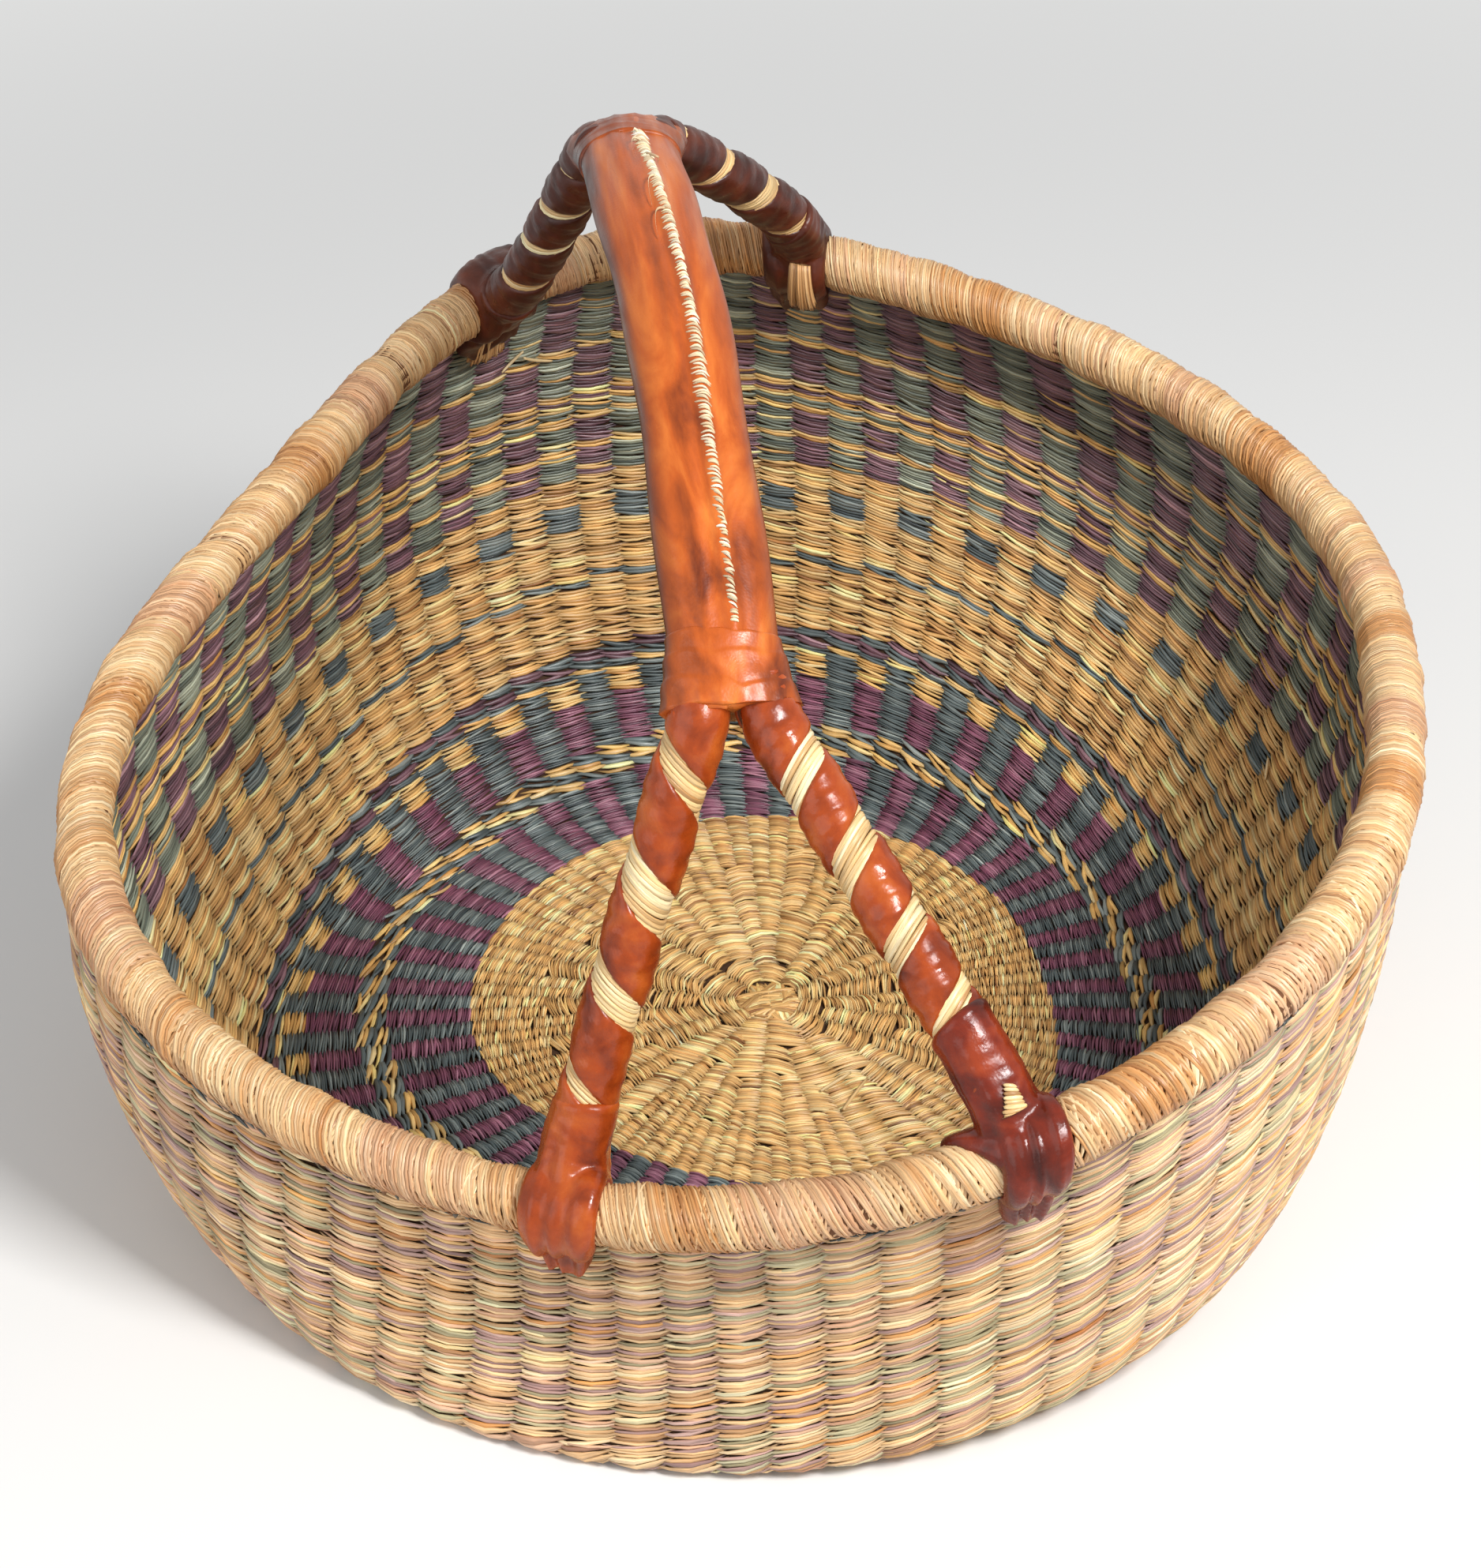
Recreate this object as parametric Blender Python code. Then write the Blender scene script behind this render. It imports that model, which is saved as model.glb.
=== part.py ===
"""Round market basket of twined straw with a wound rim and a two-bundle handle.

Metres, +Z up, the handle runs from front (-Y) to back (+Y). The weave starts from a cross in the floor,
and every angle is counted in degrees round that start, from the right-hand side towards the back.
"""

import math

import bmesh
import bpy
from mathutils import Vector

GAP = 0.0003
SHARP_EDGE_DEG = 40.0
MM_PER_METRE = 1000

# Bowl
WALL = 0.0065
RIB = 0.0016
RIB_FADE_SHARE = 0.3
STAKES = 88
WALL_ROWS = 6
BASE_RADIUS = 0.166
BASE_SHIFT = Vector((-0.017, -0.049))
RIM_RADIUS = 0.2035
RIM_HEIGHT = 0.1605
FLARE = 0.034
SHOULDER = 0.088
TOP_LEAN_DEG = 110.0
# Cosine and sine of one, two, three and four waves round the rim, as shares of the mean value
RIM_RADIUS_WAVE_SHARES = ((0.02, -0.19), (0.027, 0.0), (-0.027, 0.005), (0.015, 0.065))
RIM_HEIGHT_WAVE_SHARES = ((0.075, 0.31), (-0.06, -0.135), (-0.08, -0.03), (-0.015, 0.01))
FLARE_WAVE_SHARES = ((0.0, 0.33), (-0.38, 0.0))
SHOULDER_WAVE_SHARES = ((0.0, 0.22), (-0.31, 0.0))
TOP_LEAN_WAVE_SHARES = ((0.0, 0.24), (0.09, 0.0))

# Rim roll
ROLL_RADIUS = 0.010
CORE_RADIUS = 0.0052
SLOT_CLEARANCE = 0.0005
ROLL_SIDES = 8
CORE_SIDES = 6
LINING_SIDES = 6

# Feet: where each leg crosses the rim, and the leather cuff there
FRONT_FEET_DEG = (247.0, 279.0)
BACK_FEET_DEG = (116.0, 76.0)
CUFF_WIDTH = 0.032
CUFF_LEATHER = 0.0025
CUFF_CLEARANCE = 0.0007
CUFF_SKIRT = 0.014
CUFF_END_SHARE = 0.9
CUFF_SECTIONS = 5
SKIRT_CLEARANCE = 0.0009
SKIRT_STEPS = 2
TAIL_LENGTH = 0.018
TAIL_CLEARANCE = 0.0013
TAIL_RADIUS = 0.0045
TAIL_SPREAD_SHARE = 1.6
TAIL_FLAT_SHARE = 0.6
TAIL_GROOVE_SHARE = 0.75
TAIL_SIDES = 10
TAIL_STEPS = 2

# Handle arch: height over the line from the front feet to the back feet, and its sideways lean
ARCH_RISE_FRONT = 0.139
ARCH_RISE_BACK = 0.130
ARCH_LEAN_FRONT = 0.005
ARCH_LEAN_BACK = 0.011
ARCH_CHANGE_FROM_DEG = 80.0
ARCH_CHANGE_OVER_DEG = 45.0
ARCH_DIRECTION_STEP_DEG = 1.0
GRIP_START_DEG = 48.0
GRIP_END_DEG = 128.0
BUNDLE_RADIUS = 0.0045
BUNDLE_SPREAD = 0.0078
BUNDLE_SIDES = 6
# How far inside the top of the rim the legs stand, left and right
FRONT_FOOT_TURNS_DEG = (45.0, 40.0)
BACK_FOOT_TURNS_DEG = (30.0, 0.0)
FOOT_BEND = 0.020
MOUTH_BEND = 0.008
MOUTH_FLARE = 0.003
LEG_FOOT_CLEARANCE = 0.0009
LEG_BARE_LENGTH = 0.011
LEG_STEPS = 12
GRIP_STEPS = 15
# Feet, their turns, the end of the grip that the legs run to, and which way along the grip that is
LEG_ENDS = {
    "front": (FRONT_FEET_DEG, FRONT_FOOT_TURNS_DEG, GRIP_START_DEG, 1),
    "back": (BACK_FEET_DEG, BACK_FOOT_TURNS_DEG, GRIP_END_DEG, -1),
}

# Leg wrap of straw, and the leather strip wound over it
WRAP_THICKNESS = 0.0018
WRAP_SIDES = 8
STRIP_THICKNESS = 0.0014
STRIP_CLEARANCE = 0.0009
STRIP_WIDTH = 0.019
STRIP_PITCH = 0.030
STRIP_STEPS_PER_TURN = 12
# How far past the leg's upper side the strips of the left and the right leg start at their feet
FRONT_STRIP_STARTS_DEG = (220.0, 200.0)
BACK_STRIP_STARTS_DEG = (140.0, 55.0)

# Grip leather, its collars and the lacing along its seam
GRIP_HALF_WIDTH = 0.0160
GRIP_HALF_DEPTH = 0.0100
GRIP_LEATHER = 0.0020
GRIP_SIDES = 16
COLLAR_LENGTH = 0.022
COLLAR_LEATHER = 0.0018
LACE_RADIUS = 0.0009
LACE_SWING = 0.0035
LACE_PITCH = 0.0090
LACE_SIDES = 4
LACE_MARGIN = 0.010

COLOURS = {
    "natural_straw": (0.58, 0.34, 0.13, 0.85, 0.0),
    "grip_leather": (0.42, 0.12, 0.03, 0.60, 0.0),
    "strip_leather": (0.20, 0.05, 0.02, 0.65, 0.0),
    "lacing": (0.75, 0.62, 0.42, 0.80, 0.0),
}


def material(name):
    red, green, blue, roughness, metallic = COLOURS[name]
    made = bpy.data.materials.get(name) or bpy.data.materials.new(name)
    made.use_nodes = True
    shader = made.node_tree.nodes["Principled BSDF"]
    shader.inputs["Base Color"].default_value = (red, green, blue, 1.0)
    shader.inputs["Roughness"].default_value = roughness
    shader.inputs["Metallic"].default_value = metallic
    return made


def add_object(name, vertices, faces, finish, parent):
    mesh = bpy.data.meshes.new(name)
    mesh.from_pydata([tuple(v) for v in vertices], [], faces)
    shape = bmesh.new()
    shape.from_mesh(mesh)
    bmesh.ops.recalc_face_normals(shape, faces=shape.faces)
    shape.to_mesh(mesh)
    shape.free()
    mesh.shade_smooth()
    mesh.set_sharp_from_angle(angle=math.radians(SHARP_EDGE_DEG))
    mesh.materials.append(material(finish))
    made = bpy.data.objects.new(name, mesh)
    bpy.context.scene.collection.objects.link(made)
    made.parent = parent
    return made


def wave(angle, mean, shares):
    """A size that swings round the basket: its mean times one plus the waves' shares."""
    swing = 1.0
    for order, (cosine_share, sine_share) in enumerate(shares, start=1):
        swing += cosine_share * math.cos(order * angle) + sine_share * math.sin(order * angle)
    return mean * swing


def floor_radius(angle):
    return BASE_RADIUS + BASE_SHIFT.x * math.cos(angle) + BASE_SHIFT.y * math.sin(angle)


def wall_controls(angle):
    """The four control points, as (radius, height), of the wall's middle surface at this angle."""
    lean = math.radians(wave(angle, TOP_LEAN_DEG, TOP_LEAN_WAVE_SHARES))
    shoulder = wave(angle, SHOULDER, SHOULDER_WAVE_SHARES)
    radius = wave(angle, RIM_RADIUS, RIM_RADIUS_WAVE_SHARES)
    height = wave(angle, RIM_HEIGHT, RIM_HEIGHT_WAVE_SHARES)
    low = Vector((floor_radius(angle), WALL / 2))
    top = Vector((radius, low.y + height))
    flare = low + Vector((wave(angle, FLARE, FLARE_WAVE_SHARES), 0))
    below = top - shoulder * Vector((math.cos(lean), math.sin(lean)))
    return low, flare, below, top


def wall_at(angle, share):
    """Middle of the wall and its outward direction, both as (radius, height), at a share of the way up."""
    a, b, c, d = wall_controls(angle)
    rest = 1 - share
    point = a * rest**3 + b * 3 * share * rest**2 + c * 3 * share**2 * rest + d * share**3
    along = (b - a) * rest**2 + (c - b) * 2 * share * rest + (d - c) * share**2
    along.normalize()
    return point, Vector((along.y, -along.x))


def share_below_rim(angle, depth):
    """The share of the way up at which the wall is this far below the rim's centre."""
    return 1 - depth / (3 * wave(angle, SHOULDER, SHOULDER_WAVE_SHARES))


def wall_shares(angle):
    """Shares for the rows of the wall: even steps up to the cuffs, then the roll, then the edge under its core."""
    even = share_below_rim(angle, ROLL_RADIUS + CUFF_SKIRT)
    upper = [share_below_rim(angle, ROLL_RADIUS), share_below_rim(angle, CORE_RADIUS + GAP)]
    return [even * row / WALL_ROWS for row in range(WALL_ROWS + 1)] + upper


def to_space(angle, radius, height):
    return Vector((radius * math.cos(angle), radius * math.sin(angle), height))


def rim_frame(angle):
    """Centre of the rim roll, the direction up out of the wall and the outward direction."""
    top = wall_controls(angle)[3]
    rise = (top - wall_at(angle, share_below_rim(angle, ROLL_RADIUS))[0]).normalized()
    return to_space(angle, *top), to_space(angle, *rise), to_space(angle, rise.y, -rise.x)


def skin(sections, closed):
    """Quads between sections of equal count. Open rows of sections get a flat cap at each end."""
    count = len(sections[0])
    vertices = [point for section in sections for point in section]
    rows = len(sections) if closed else len(sections) - 1
    faces = []
    for row in range(rows):
        here = row * count
        there = (row + 1) % len(sections) * count
        for i in range(count):
            j = (i + 1) % count
            faces.append((here + i, here + j, there + j, there + i))
    if not closed:
        last = (len(sections) - 1) * count
        faces.append(tuple(reversed(range(count))))
        faces.append(tuple(range(last, last + count)))
    return vertices, faces


def pipe(outer, inner):
    """A hollow tube, open at both ends, from its outer and its inner sections."""
    count = len(outer[0])
    rows = len(outer)
    vertices = [point for section in outer + inner for point in section]
    inside = rows * count
    faces = []
    for row in range(rows - 1):
        for i in range(count):
            j = (i + 1) % count
            here = row * count
            there = here + count
            faces.append((here + i, here + j, there + j, there + i))
            faces.append((inside + here + j, inside + here + i, inside + there + i, inside + there + j))
    last = (rows - 1) * count
    for i in range(count):
        j = (i + 1) % count
        faces.append((j, i, inside + i, inside + j))
        faces.append((last + i, last + j, inside + last + j, inside + last + i))
    return vertices, faces


def woven_bowl(parent):
    """Floor and wall in one piece, with a rib over each stake on both faces and a flat underside."""
    columns = 2 * STAKES
    vertices = [Vector((0, 0, 0)), Vector((0, 0, WALL))]
    faces = []
    rows = len(wall_shares(0)) - 1
    for side in (1, -1):
        for row in range(rows + 1):
            for column in range(columns):
                angle = 2 * math.pi * column / columns
                share = wall_shares(angle)[row]
                point, out = wall_at(angle, share)
                valley = RIB * min(share / RIB_FADE_SHARE, 1) * (column % 2)
                vertices.append(to_space(angle, *(point + out * side * (WALL / 2 - valley))))
    outer = 2
    inner = outer + (rows + 1) * columns
    top = rows * columns
    for i in range(columns):
        j = (i + 1) % columns
        faces.append((0, outer + j, outer + i))
        faces.append((1, inner + i, inner + j))
        for row in range(rows):
            low = row * columns
            high = low + columns
            faces.append((outer + low + i, outer + low + j, outer + high + j, outer + high + i))
            faces.append((inner + low + j, inner + low + i, inner + high + i, inner + high + j))
        faces.append((outer + top + i, outer + top + j, inner + top + j, inner + top + i))
    add_object("woven_bowl", vertices, faces, "natural_straw", parent)


def rim_core(parent):
    """The bundle of stake ends inside the rim roll."""
    sections = []
    for step in range(STAKES):
        angle = 2 * math.pi * step / STAKES
        centre, up, out = rim_frame(angle)
        section = []
        for i in range(CORE_SIDES):
            turn = 2 * math.pi * (i + 0.5) / CORE_SIDES
            section.append(centre + CORE_RADIUS * (math.cos(turn) * up + math.sin(turn) * out))
        sections.append(section)
    vertices, faces = skin(sections, True)
    add_object("rim_core", vertices, faces, "natural_straw", parent)


def slot_half():
    """Half the slot that the wall needs, with its clearance."""
    return WALL / 2 + SLOT_CLEARANCE


def arc(radius, half_slot, sides):
    """Points (out, up) on a circle from one lip of a slot at the bottom, over the top, to the other lip."""
    lip = math.pi - math.asin(half_slot / radius)
    points = []
    for i in range(sides + 1):
        turn = -lip + 2 * lip * i / sides
        points.append((radius * math.sin(turn), radius * math.cos(turn)))
    return points


def rim_wrap(parent):
    """Straw wound round the core and over the wall's top edge, so it is open along the wall."""
    outside = arc(ROLL_RADIUS, slot_half(), ROLL_SIDES)
    lining = (CORE_RADIUS + GAP) / math.cos(math.pi / LINING_SIDES)
    inside = arc(lining, slot_half(), LINING_SIDES)
    profile = outside + inside[::-1]
    sections = []
    for step in range(STAKES):
        centre, up, out = rim_frame(2 * math.pi * step / STAKES)
        sections.append([centre + out * x + up * y for x, y in profile])
    vertices, faces = skin(sections, True)
    add_object("rim_wrap", vertices, faces, "natural_straw", parent)


def beside_wall(angle, depth, offset):
    """A point this far below the rim's centre, and this far outside the wall's middle surface."""
    point, out = wall_at(angle, share_below_rim(angle, depth))
    return to_space(angle, *(point + out * offset))


def cuff_section(angle, share):
    """Outline round the roll, with a skirt down each face of the wall. share thins the leather at its ends."""
    centre, up, out = rim_frame(angle)
    inner_radius = ROLL_RADIUS + CUFF_CLEARANCE
    outer_radius = inner_radius + CUFF_LEATHER * share
    near = WALL / 2 + SKIRT_CLEARANCE
    far = near + CUFF_LEATHER * share
    depths = [ROLL_RADIUS + CUFF_SKIRT * share * step / SKIRT_STEPS for step in range(1, SKIRT_STEPS + 1)]
    outside = [centre + out * x + up * y for x, y in arc(outer_radius, far, ROLL_SIDES)]
    inside = [centre + out * x + up * y for x, y in arc(inner_radius, near, ROLL_SIDES)]
    outer_lap = [beside_wall(angle, depth, far) for depth in depths]
    inner_lap = [beside_wall(angle, depth, -far) for depth in depths]
    outer_face = [beside_wall(angle, depth, near) for depth in depths]
    inner_face = [beside_wall(angle, depth, -near) for depth in depths]
    return inner_lap[::-1] + outside + outer_lap + outer_face[::-1] + inside[::-1] + inner_face


def foot_cuff(name, degrees, parent):
    """Leather folded over the rim where a leg is tied down."""
    middle = math.radians(degrees)
    span = CUFF_WIDTH / wave(middle, RIM_RADIUS, RIM_RADIUS_WAVE_SHARES)
    sections = []
    for step in range(CUFF_SECTIONS):
        place = 2 * step / (CUFF_SECTIONS - 1) - 1
        share = 1 - (1 - CUFF_END_SHARE) * place**2
        sections.append(cuff_section(middle + span / 2 * place, share))
    vertices, faces = skin(sections, False)
    add_object(name, vertices, faces, "strip_leather", parent)


def straw_tail(name, degrees, parent):
    """Loose straw ends of a leg, hanging down the inside of the wall under its cuff."""
    angle = math.radians(degrees)
    aside = TAIL_RADIUS / RIM_RADIUS
    sections = []
    for row in range(TAIL_STEPS + 1):
        share = 1 + (TAIL_SPREAD_SHARE - 1) * row / TAIL_STEPS
        depth = ROLL_RADIUS + CUFF_SKIRT + 2 * GAP + TAIL_LENGTH * row / TAIL_STEPS
        base = beside_wall(angle, depth, -WALL / 2 - TAIL_CLEARANCE)
        along = (beside_wall(angle + aside, depth, 0) - beside_wall(angle - aside, depth, 0)).normalized()
        inward = (beside_wall(angle, depth, -WALL) - beside_wall(angle, depth, 0)).normalized()
        section = []
        for i in range(TAIL_SIDES):
            turn = 2 * math.pi * i / TAIL_SIDES
            ridge = TAIL_RADIUS * (1 if i % 2 else TAIL_GROOVE_SHARE)
            rise = (TAIL_RADIUS + ridge * math.sin(turn)) * TAIL_FLAT_SHARE
            section.append(base + along * math.cos(turn) * ridge * share + inward * rise)
        sections.append(section)
    vertices, faces = skin(sections, False)
    add_object(name, vertices, faces, "natural_straw", parent)


def feet_middle(pair):
    first = rim_frame(math.radians(pair[0]))[0]
    second = rim_frame(math.radians(pair[1]))[0]
    return (first + second) / 2


def arch_point(degrees):
    """A point on the handle's centre line, 0 at the front feet and 180 at the back feet."""
    front = feet_middle(FRONT_FEET_DEG)
    back = feet_middle(BACK_FEET_DEG)
    turn = math.radians(degrees)
    point = (front + back) / 2 - (back - front) / 2 * math.cos(turn)
    share = min(max((degrees - ARCH_CHANGE_FROM_DEG) / ARCH_CHANGE_OVER_DEG, 0), 1)
    change = share * share * (3 - 2 * share)
    lean = ARCH_LEAN_FRONT + (ARCH_LEAN_BACK - ARCH_LEAN_FRONT) * change
    rise = ARCH_RISE_FRONT + (ARCH_RISE_BACK - ARCH_RISE_FRONT) * change
    return point + Vector((-lean * math.sin(turn), 0, rise * math.sin(turn)))


def arch_direction(degrees):
    ahead = arch_point(degrees + ARCH_DIRECTION_STEP_DEG)
    behind = arch_point(degrees - ARCH_DIRECTION_STEP_DEG)
    return (ahead - behind).normalized()


def leg_path(end, side):
    """Points from the cuff up to the mouth of the grip. side is -1 on the left and 1 on the right."""
    feet_deg, turns_deg, grip_deg, inwards = LEG_ENDS[end]
    index = 0 if side < 0 else 1
    angle = math.radians(feet_deg[index])
    foot_turn = math.radians(turns_deg[index])
    centre, up, out = rim_frame(angle)
    away = up * math.cos(foot_turn) - out * math.sin(foot_turn)
    start = centre + away * (ROLL_RADIUS + CUFF_CLEARANCE + CUFF_LEATHER + LEG_FOOT_CLEARANCE)
    rim_step = CUFF_WIDTH / RIM_RADIUS / 2
    rim_run = (rim_frame(angle + rim_step)[0] - rim_frame(angle - rim_step)[0]).normalized()
    upright = (away - rim_run * away.dot(rim_run)).normalized()
    mouth = arch_point(grip_deg) + Vector((side * BUNDLE_SPREAD, 0, 0))
    first = start + upright * FOOT_BEND
    second = mouth - arch_direction(grip_deg) * inwards * MOUTH_BEND + Vector((side * MOUTH_FLARE, 0, 0))
    points = []
    for step in range(LEG_STEPS + 1):
        t = step / LEG_STEPS
        rest = 1 - t
        points.append(start * rest**3 + first * 3 * t * rest**2 + second * 3 * t**2 * rest + mouth * t**3)
    return points


def grip_degrees(step):
    return GRIP_START_DEG + (GRIP_END_DEG - GRIP_START_DEG) * step / GRIP_STEPS


def bundle_path(side):
    """One grass bundle from the front foot, through the grip, to the back foot."""
    points = leg_path("front", side)
    for step in range(1, GRIP_STEPS):
        points.append(arch_point(grip_degrees(step)) + Vector((side * BUNDLE_SPREAD, 0, 0)))
    points += leg_path("back", side)[::-1]
    return points


def frames(points):
    """Point, sideways direction and upper direction along a path, without twist."""
    made = []
    side = None
    for i, point in enumerate(points):
        ahead = points[min(i + 1, len(points) - 1)]
        behind = points[max(i - 1, 0)]
        along = (ahead - behind).normalized()
        side = Vector((1, 0, 0)) if side is None else side
        side = (side - along * side.dot(along)).normalized()
        made.append((point, side, side.cross(along)))
    return made


def ovals(path, half_width, half_depth, sides, flat_top=False):
    """Elliptical sections square to a path of frames. A flat top has a side there, not a corner."""
    turn_offset = 0.5 if flat_top else 0.0
    sections = []
    for point, side, up in path:
        section = []
        for i in range(sides):
            turn = 2 * math.pi * (i + turn_offset) / sides
            section.append(point + side * half_width * math.cos(turn) - up * half_depth * math.sin(turn))
        sections.append(section)
    return sections


def handle_bundle(name, side, parent):
    path = frames(bundle_path(side))
    vertices, faces = skin(ovals(path, BUNDLE_RADIUS, BUNDLE_RADIUS, BUNDLE_SIDES), False)
    add_object(name, vertices, faces, "natural_straw", parent)


def path_lengths(path):
    lengths = [0.0]
    for before, after in zip(path, path[1:]):
        lengths.append(lengths[-1] + (after[0] - before[0]).length)
    return lengths


def frame_at(path, lengths, distance):
    """Frame at a distance along a path of frames, between its neighbours."""
    for i in range(1, len(path)):
        if distance <= lengths[i] or i == len(path) - 1:
            t = (distance - lengths[i - 1]) / (lengths[i] - lengths[i - 1])
            return tuple(a.lerp(b, t) for a, b in zip(path[i - 1], path[i]))


def leg_wrap(name, path, parent):
    """Straw bound round a leg's bundle."""
    inner = (BUNDLE_RADIUS + GAP) / math.cos(math.pi / WRAP_SIDES)
    outside = ovals(path, inner + WRAP_THICKNESS, inner + WRAP_THICKNESS, WRAP_SIDES)
    inside = ovals(path, inner, inner, WRAP_SIDES)
    vertices, faces = pipe(outside, inside)
    add_object(name, vertices, faces, "natural_straw", parent)


def print_least_gap(name, sections, apart):
    """Prints the least gap of a winding to itself, between sections at least this many steps apart."""
    gap = math.inf
    for i, section in enumerate(sections):
        for other in sections[i + apart:]:
            gap = min(gap, min((a - b).length for a in section for b in other))
    print(f"{name}: least gap to itself {gap * MM_PER_METRE:.1f} mm")


def leg_strip(name, path, hand, start_deg, parent):
    """Leather strip wound over the straw in whole turns. Straw shows between them."""
    lengths = path_lengths(path)
    run = lengths[-1] - STRIP_WIDTH - 2 * GAP
    steps = round(run / STRIP_PITCH) * STRIP_STEPS_PER_TURN
    wrap = (BUNDLE_RADIUS + GAP) / math.cos(math.pi / WRAP_SIDES) + WRAP_THICKNESS
    low = (wrap + STRIP_CLEARANCE) / math.cos(math.pi / STRIP_STEPS_PER_TURN)
    high = low + STRIP_THICKNESS
    half = STRIP_WIDTH / 2
    outline = ((0, low), (0, high), (half, high), (STRIP_WIDTH, high), (STRIP_WIDTH, low), (half, low))
    sections = []
    for step in range(steps + 1):
        distance = GAP + run * step / steps
        wound = math.radians(start_deg) + 2 * math.pi * step / STRIP_STEPS_PER_TURN
        turn = math.pi / 2 + hand * wound
        section = []
        for across, radius in outline:
            point, side, up = frame_at(path, lengths, distance + across)
            section.append(point + (side * math.cos(turn) + up * math.sin(turn)) * radius)
        sections.append(section)
    print_least_gap(name, sections, STRIP_STEPS_PER_TURN // 2)
    vertices, faces = skin(sections, False)
    add_object(name, vertices, faces, "strip_leather", parent)


def legs(parent):
    """The straw wrap and the leather strip of each of the four legs."""
    for side, word in ((-1, "left"), (1, "right")):
        index = 0 if side < 0 else 1
        front = frames(leg_path("front", side))
        back = frames(leg_path("back", side))
        windings = (
            ("front", front, -side, FRONT_STRIP_STARTS_DEG[index]),
            ("back", back, side, BACK_STRIP_STARTS_DEG[index]),
        )
        for end, path, hand, start_deg in windings:
            wrapped = cut_end(path, LEG_BARE_LENGTH)
            leg_wrap(f"leg_wrap_{end}_{word}", wrapped, parent)
            leg_strip(f"leg_strip_{end}_{word}", wrapped, hand, start_deg, parent)


def cut_end(path, length):
    """The same frames, ending this much earlier."""
    lengths = path_lengths(path)
    stop = lengths[-1] - length
    kept = [frame for frame, distance in zip(path, lengths) if distance < stop]
    return kept + [frame_at(path, lengths, stop)]


def grip_path():
    return frames([arch_point(grip_degrees(step)) for step in range(GRIP_STEPS + 1)])


def grip_sleeve(parent):
    """Leather sewn round both bundles."""
    path = grip_path()
    outside = ovals(path, GRIP_HALF_WIDTH, GRIP_HALF_DEPTH, GRIP_SIDES, True)
    inside = ovals(path, GRIP_HALF_WIDTH - GRIP_LEATHER, GRIP_HALF_DEPTH - GRIP_LEATHER, GRIP_SIDES, True)
    vertices, faces = pipe(outside, inside)
    add_object("grip_sleeve", vertices, faces, "grip_leather", parent)


def collar(name, path, parent):
    """Leather band round the mouth of the grip that the path starts from."""
    lengths = path_lengths(path)
    covered = cut_end(path, lengths[-1] - COLLAR_LENGTH)
    width = GRIP_HALF_WIDTH + GAP
    depth = GRIP_HALF_DEPTH + GAP
    outside = ovals(covered, width + COLLAR_LEATHER, depth + COLLAR_LEATHER, GRIP_SIDES, True)
    vertices, faces = pipe(outside, ovals(covered, width, depth, GRIP_SIDES, True))
    add_object(name, vertices, faces, "grip_leather", parent)


def grip_lacing(parent):
    """The lace that zigzags across the seam along the top of the grip, between the collars."""
    path = grip_path()
    lengths = path_lengths(path)
    start = COLLAR_LENGTH + LACE_MARGIN
    run = lengths[-1] - 2 * start
    swings = 2 * round(run / LACE_PITCH)
    rise = GRIP_HALF_DEPTH + LACE_RADIUS + 2 * GAP
    points = []
    for step in range(swings + 1):
        point, side, up = frame_at(path, lengths, start + run * step / swings)
        points.append(point + side * LACE_SWING * (1 if step % 2 else -1) + up * rise)
    sections = ovals(frames(points), LACE_RADIUS, LACE_RADIUS, LACE_SIDES)
    print_least_gap("grip_lacing", sections, 2)
    vertices, faces = skin(sections, False)
    add_object("grip_lacing", vertices, faces, "lacing", parent)


def centre_on_base(parent):
    """Moves the whole basket so that the middle of its outline stands over the origin."""
    bpy.context.view_layer.update()
    corners = [child.matrix_world @ vertex.co for child in parent.children for vertex in child.data.vertices]
    for axis in (0, 1):
        values = [corner[axis] for corner in corners]
        parent.location[axis] = -(min(values) + max(values)) / 2
    bpy.context.view_layer.update()


def main():
    for old in list(bpy.data.objects):
        bpy.data.objects.remove(old)
    basket = bpy.data.objects.new("basket", None)
    bpy.context.scene.collection.objects.link(basket)
    woven_bowl(basket)
    rim_core(basket)
    rim_wrap(basket)
    for pair, end in ((FRONT_FEET_DEG, "front"), (BACK_FEET_DEG, "back")):
        for degrees, word in zip(pair, ("left", "right")):
            foot_cuff(f"foot_cuff_{end}_{word}", degrees, basket)
            straw_tail(f"straw_tail_{end}_{word}", degrees, basket)
    handle_bundle("handle_bundle_left", -1, basket)
    handle_bundle("handle_bundle_right", 1, basket)
    legs(basket)
    grip_sleeve(basket)
    collar("collar_front", grip_path(), basket)
    collar("collar_back", grip_path()[::-1], basket)
    grip_lacing(basket)
    centre_on_base(basket)


main()
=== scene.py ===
"""Looks of a round market basket of twined straw with a wound rim and a leather-bound handle.

Metres, +Z up. The bowl's formulas are the same as in the model's source. The weave starts from a knot in
the floor, angles go round that start from the right-hand side towards the back, and distances along the
weave are millimetres of the mean way from the start to the rim.
"""

import math

import bpy
import numpy as np
from mathutils import Matrix, Vector


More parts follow.
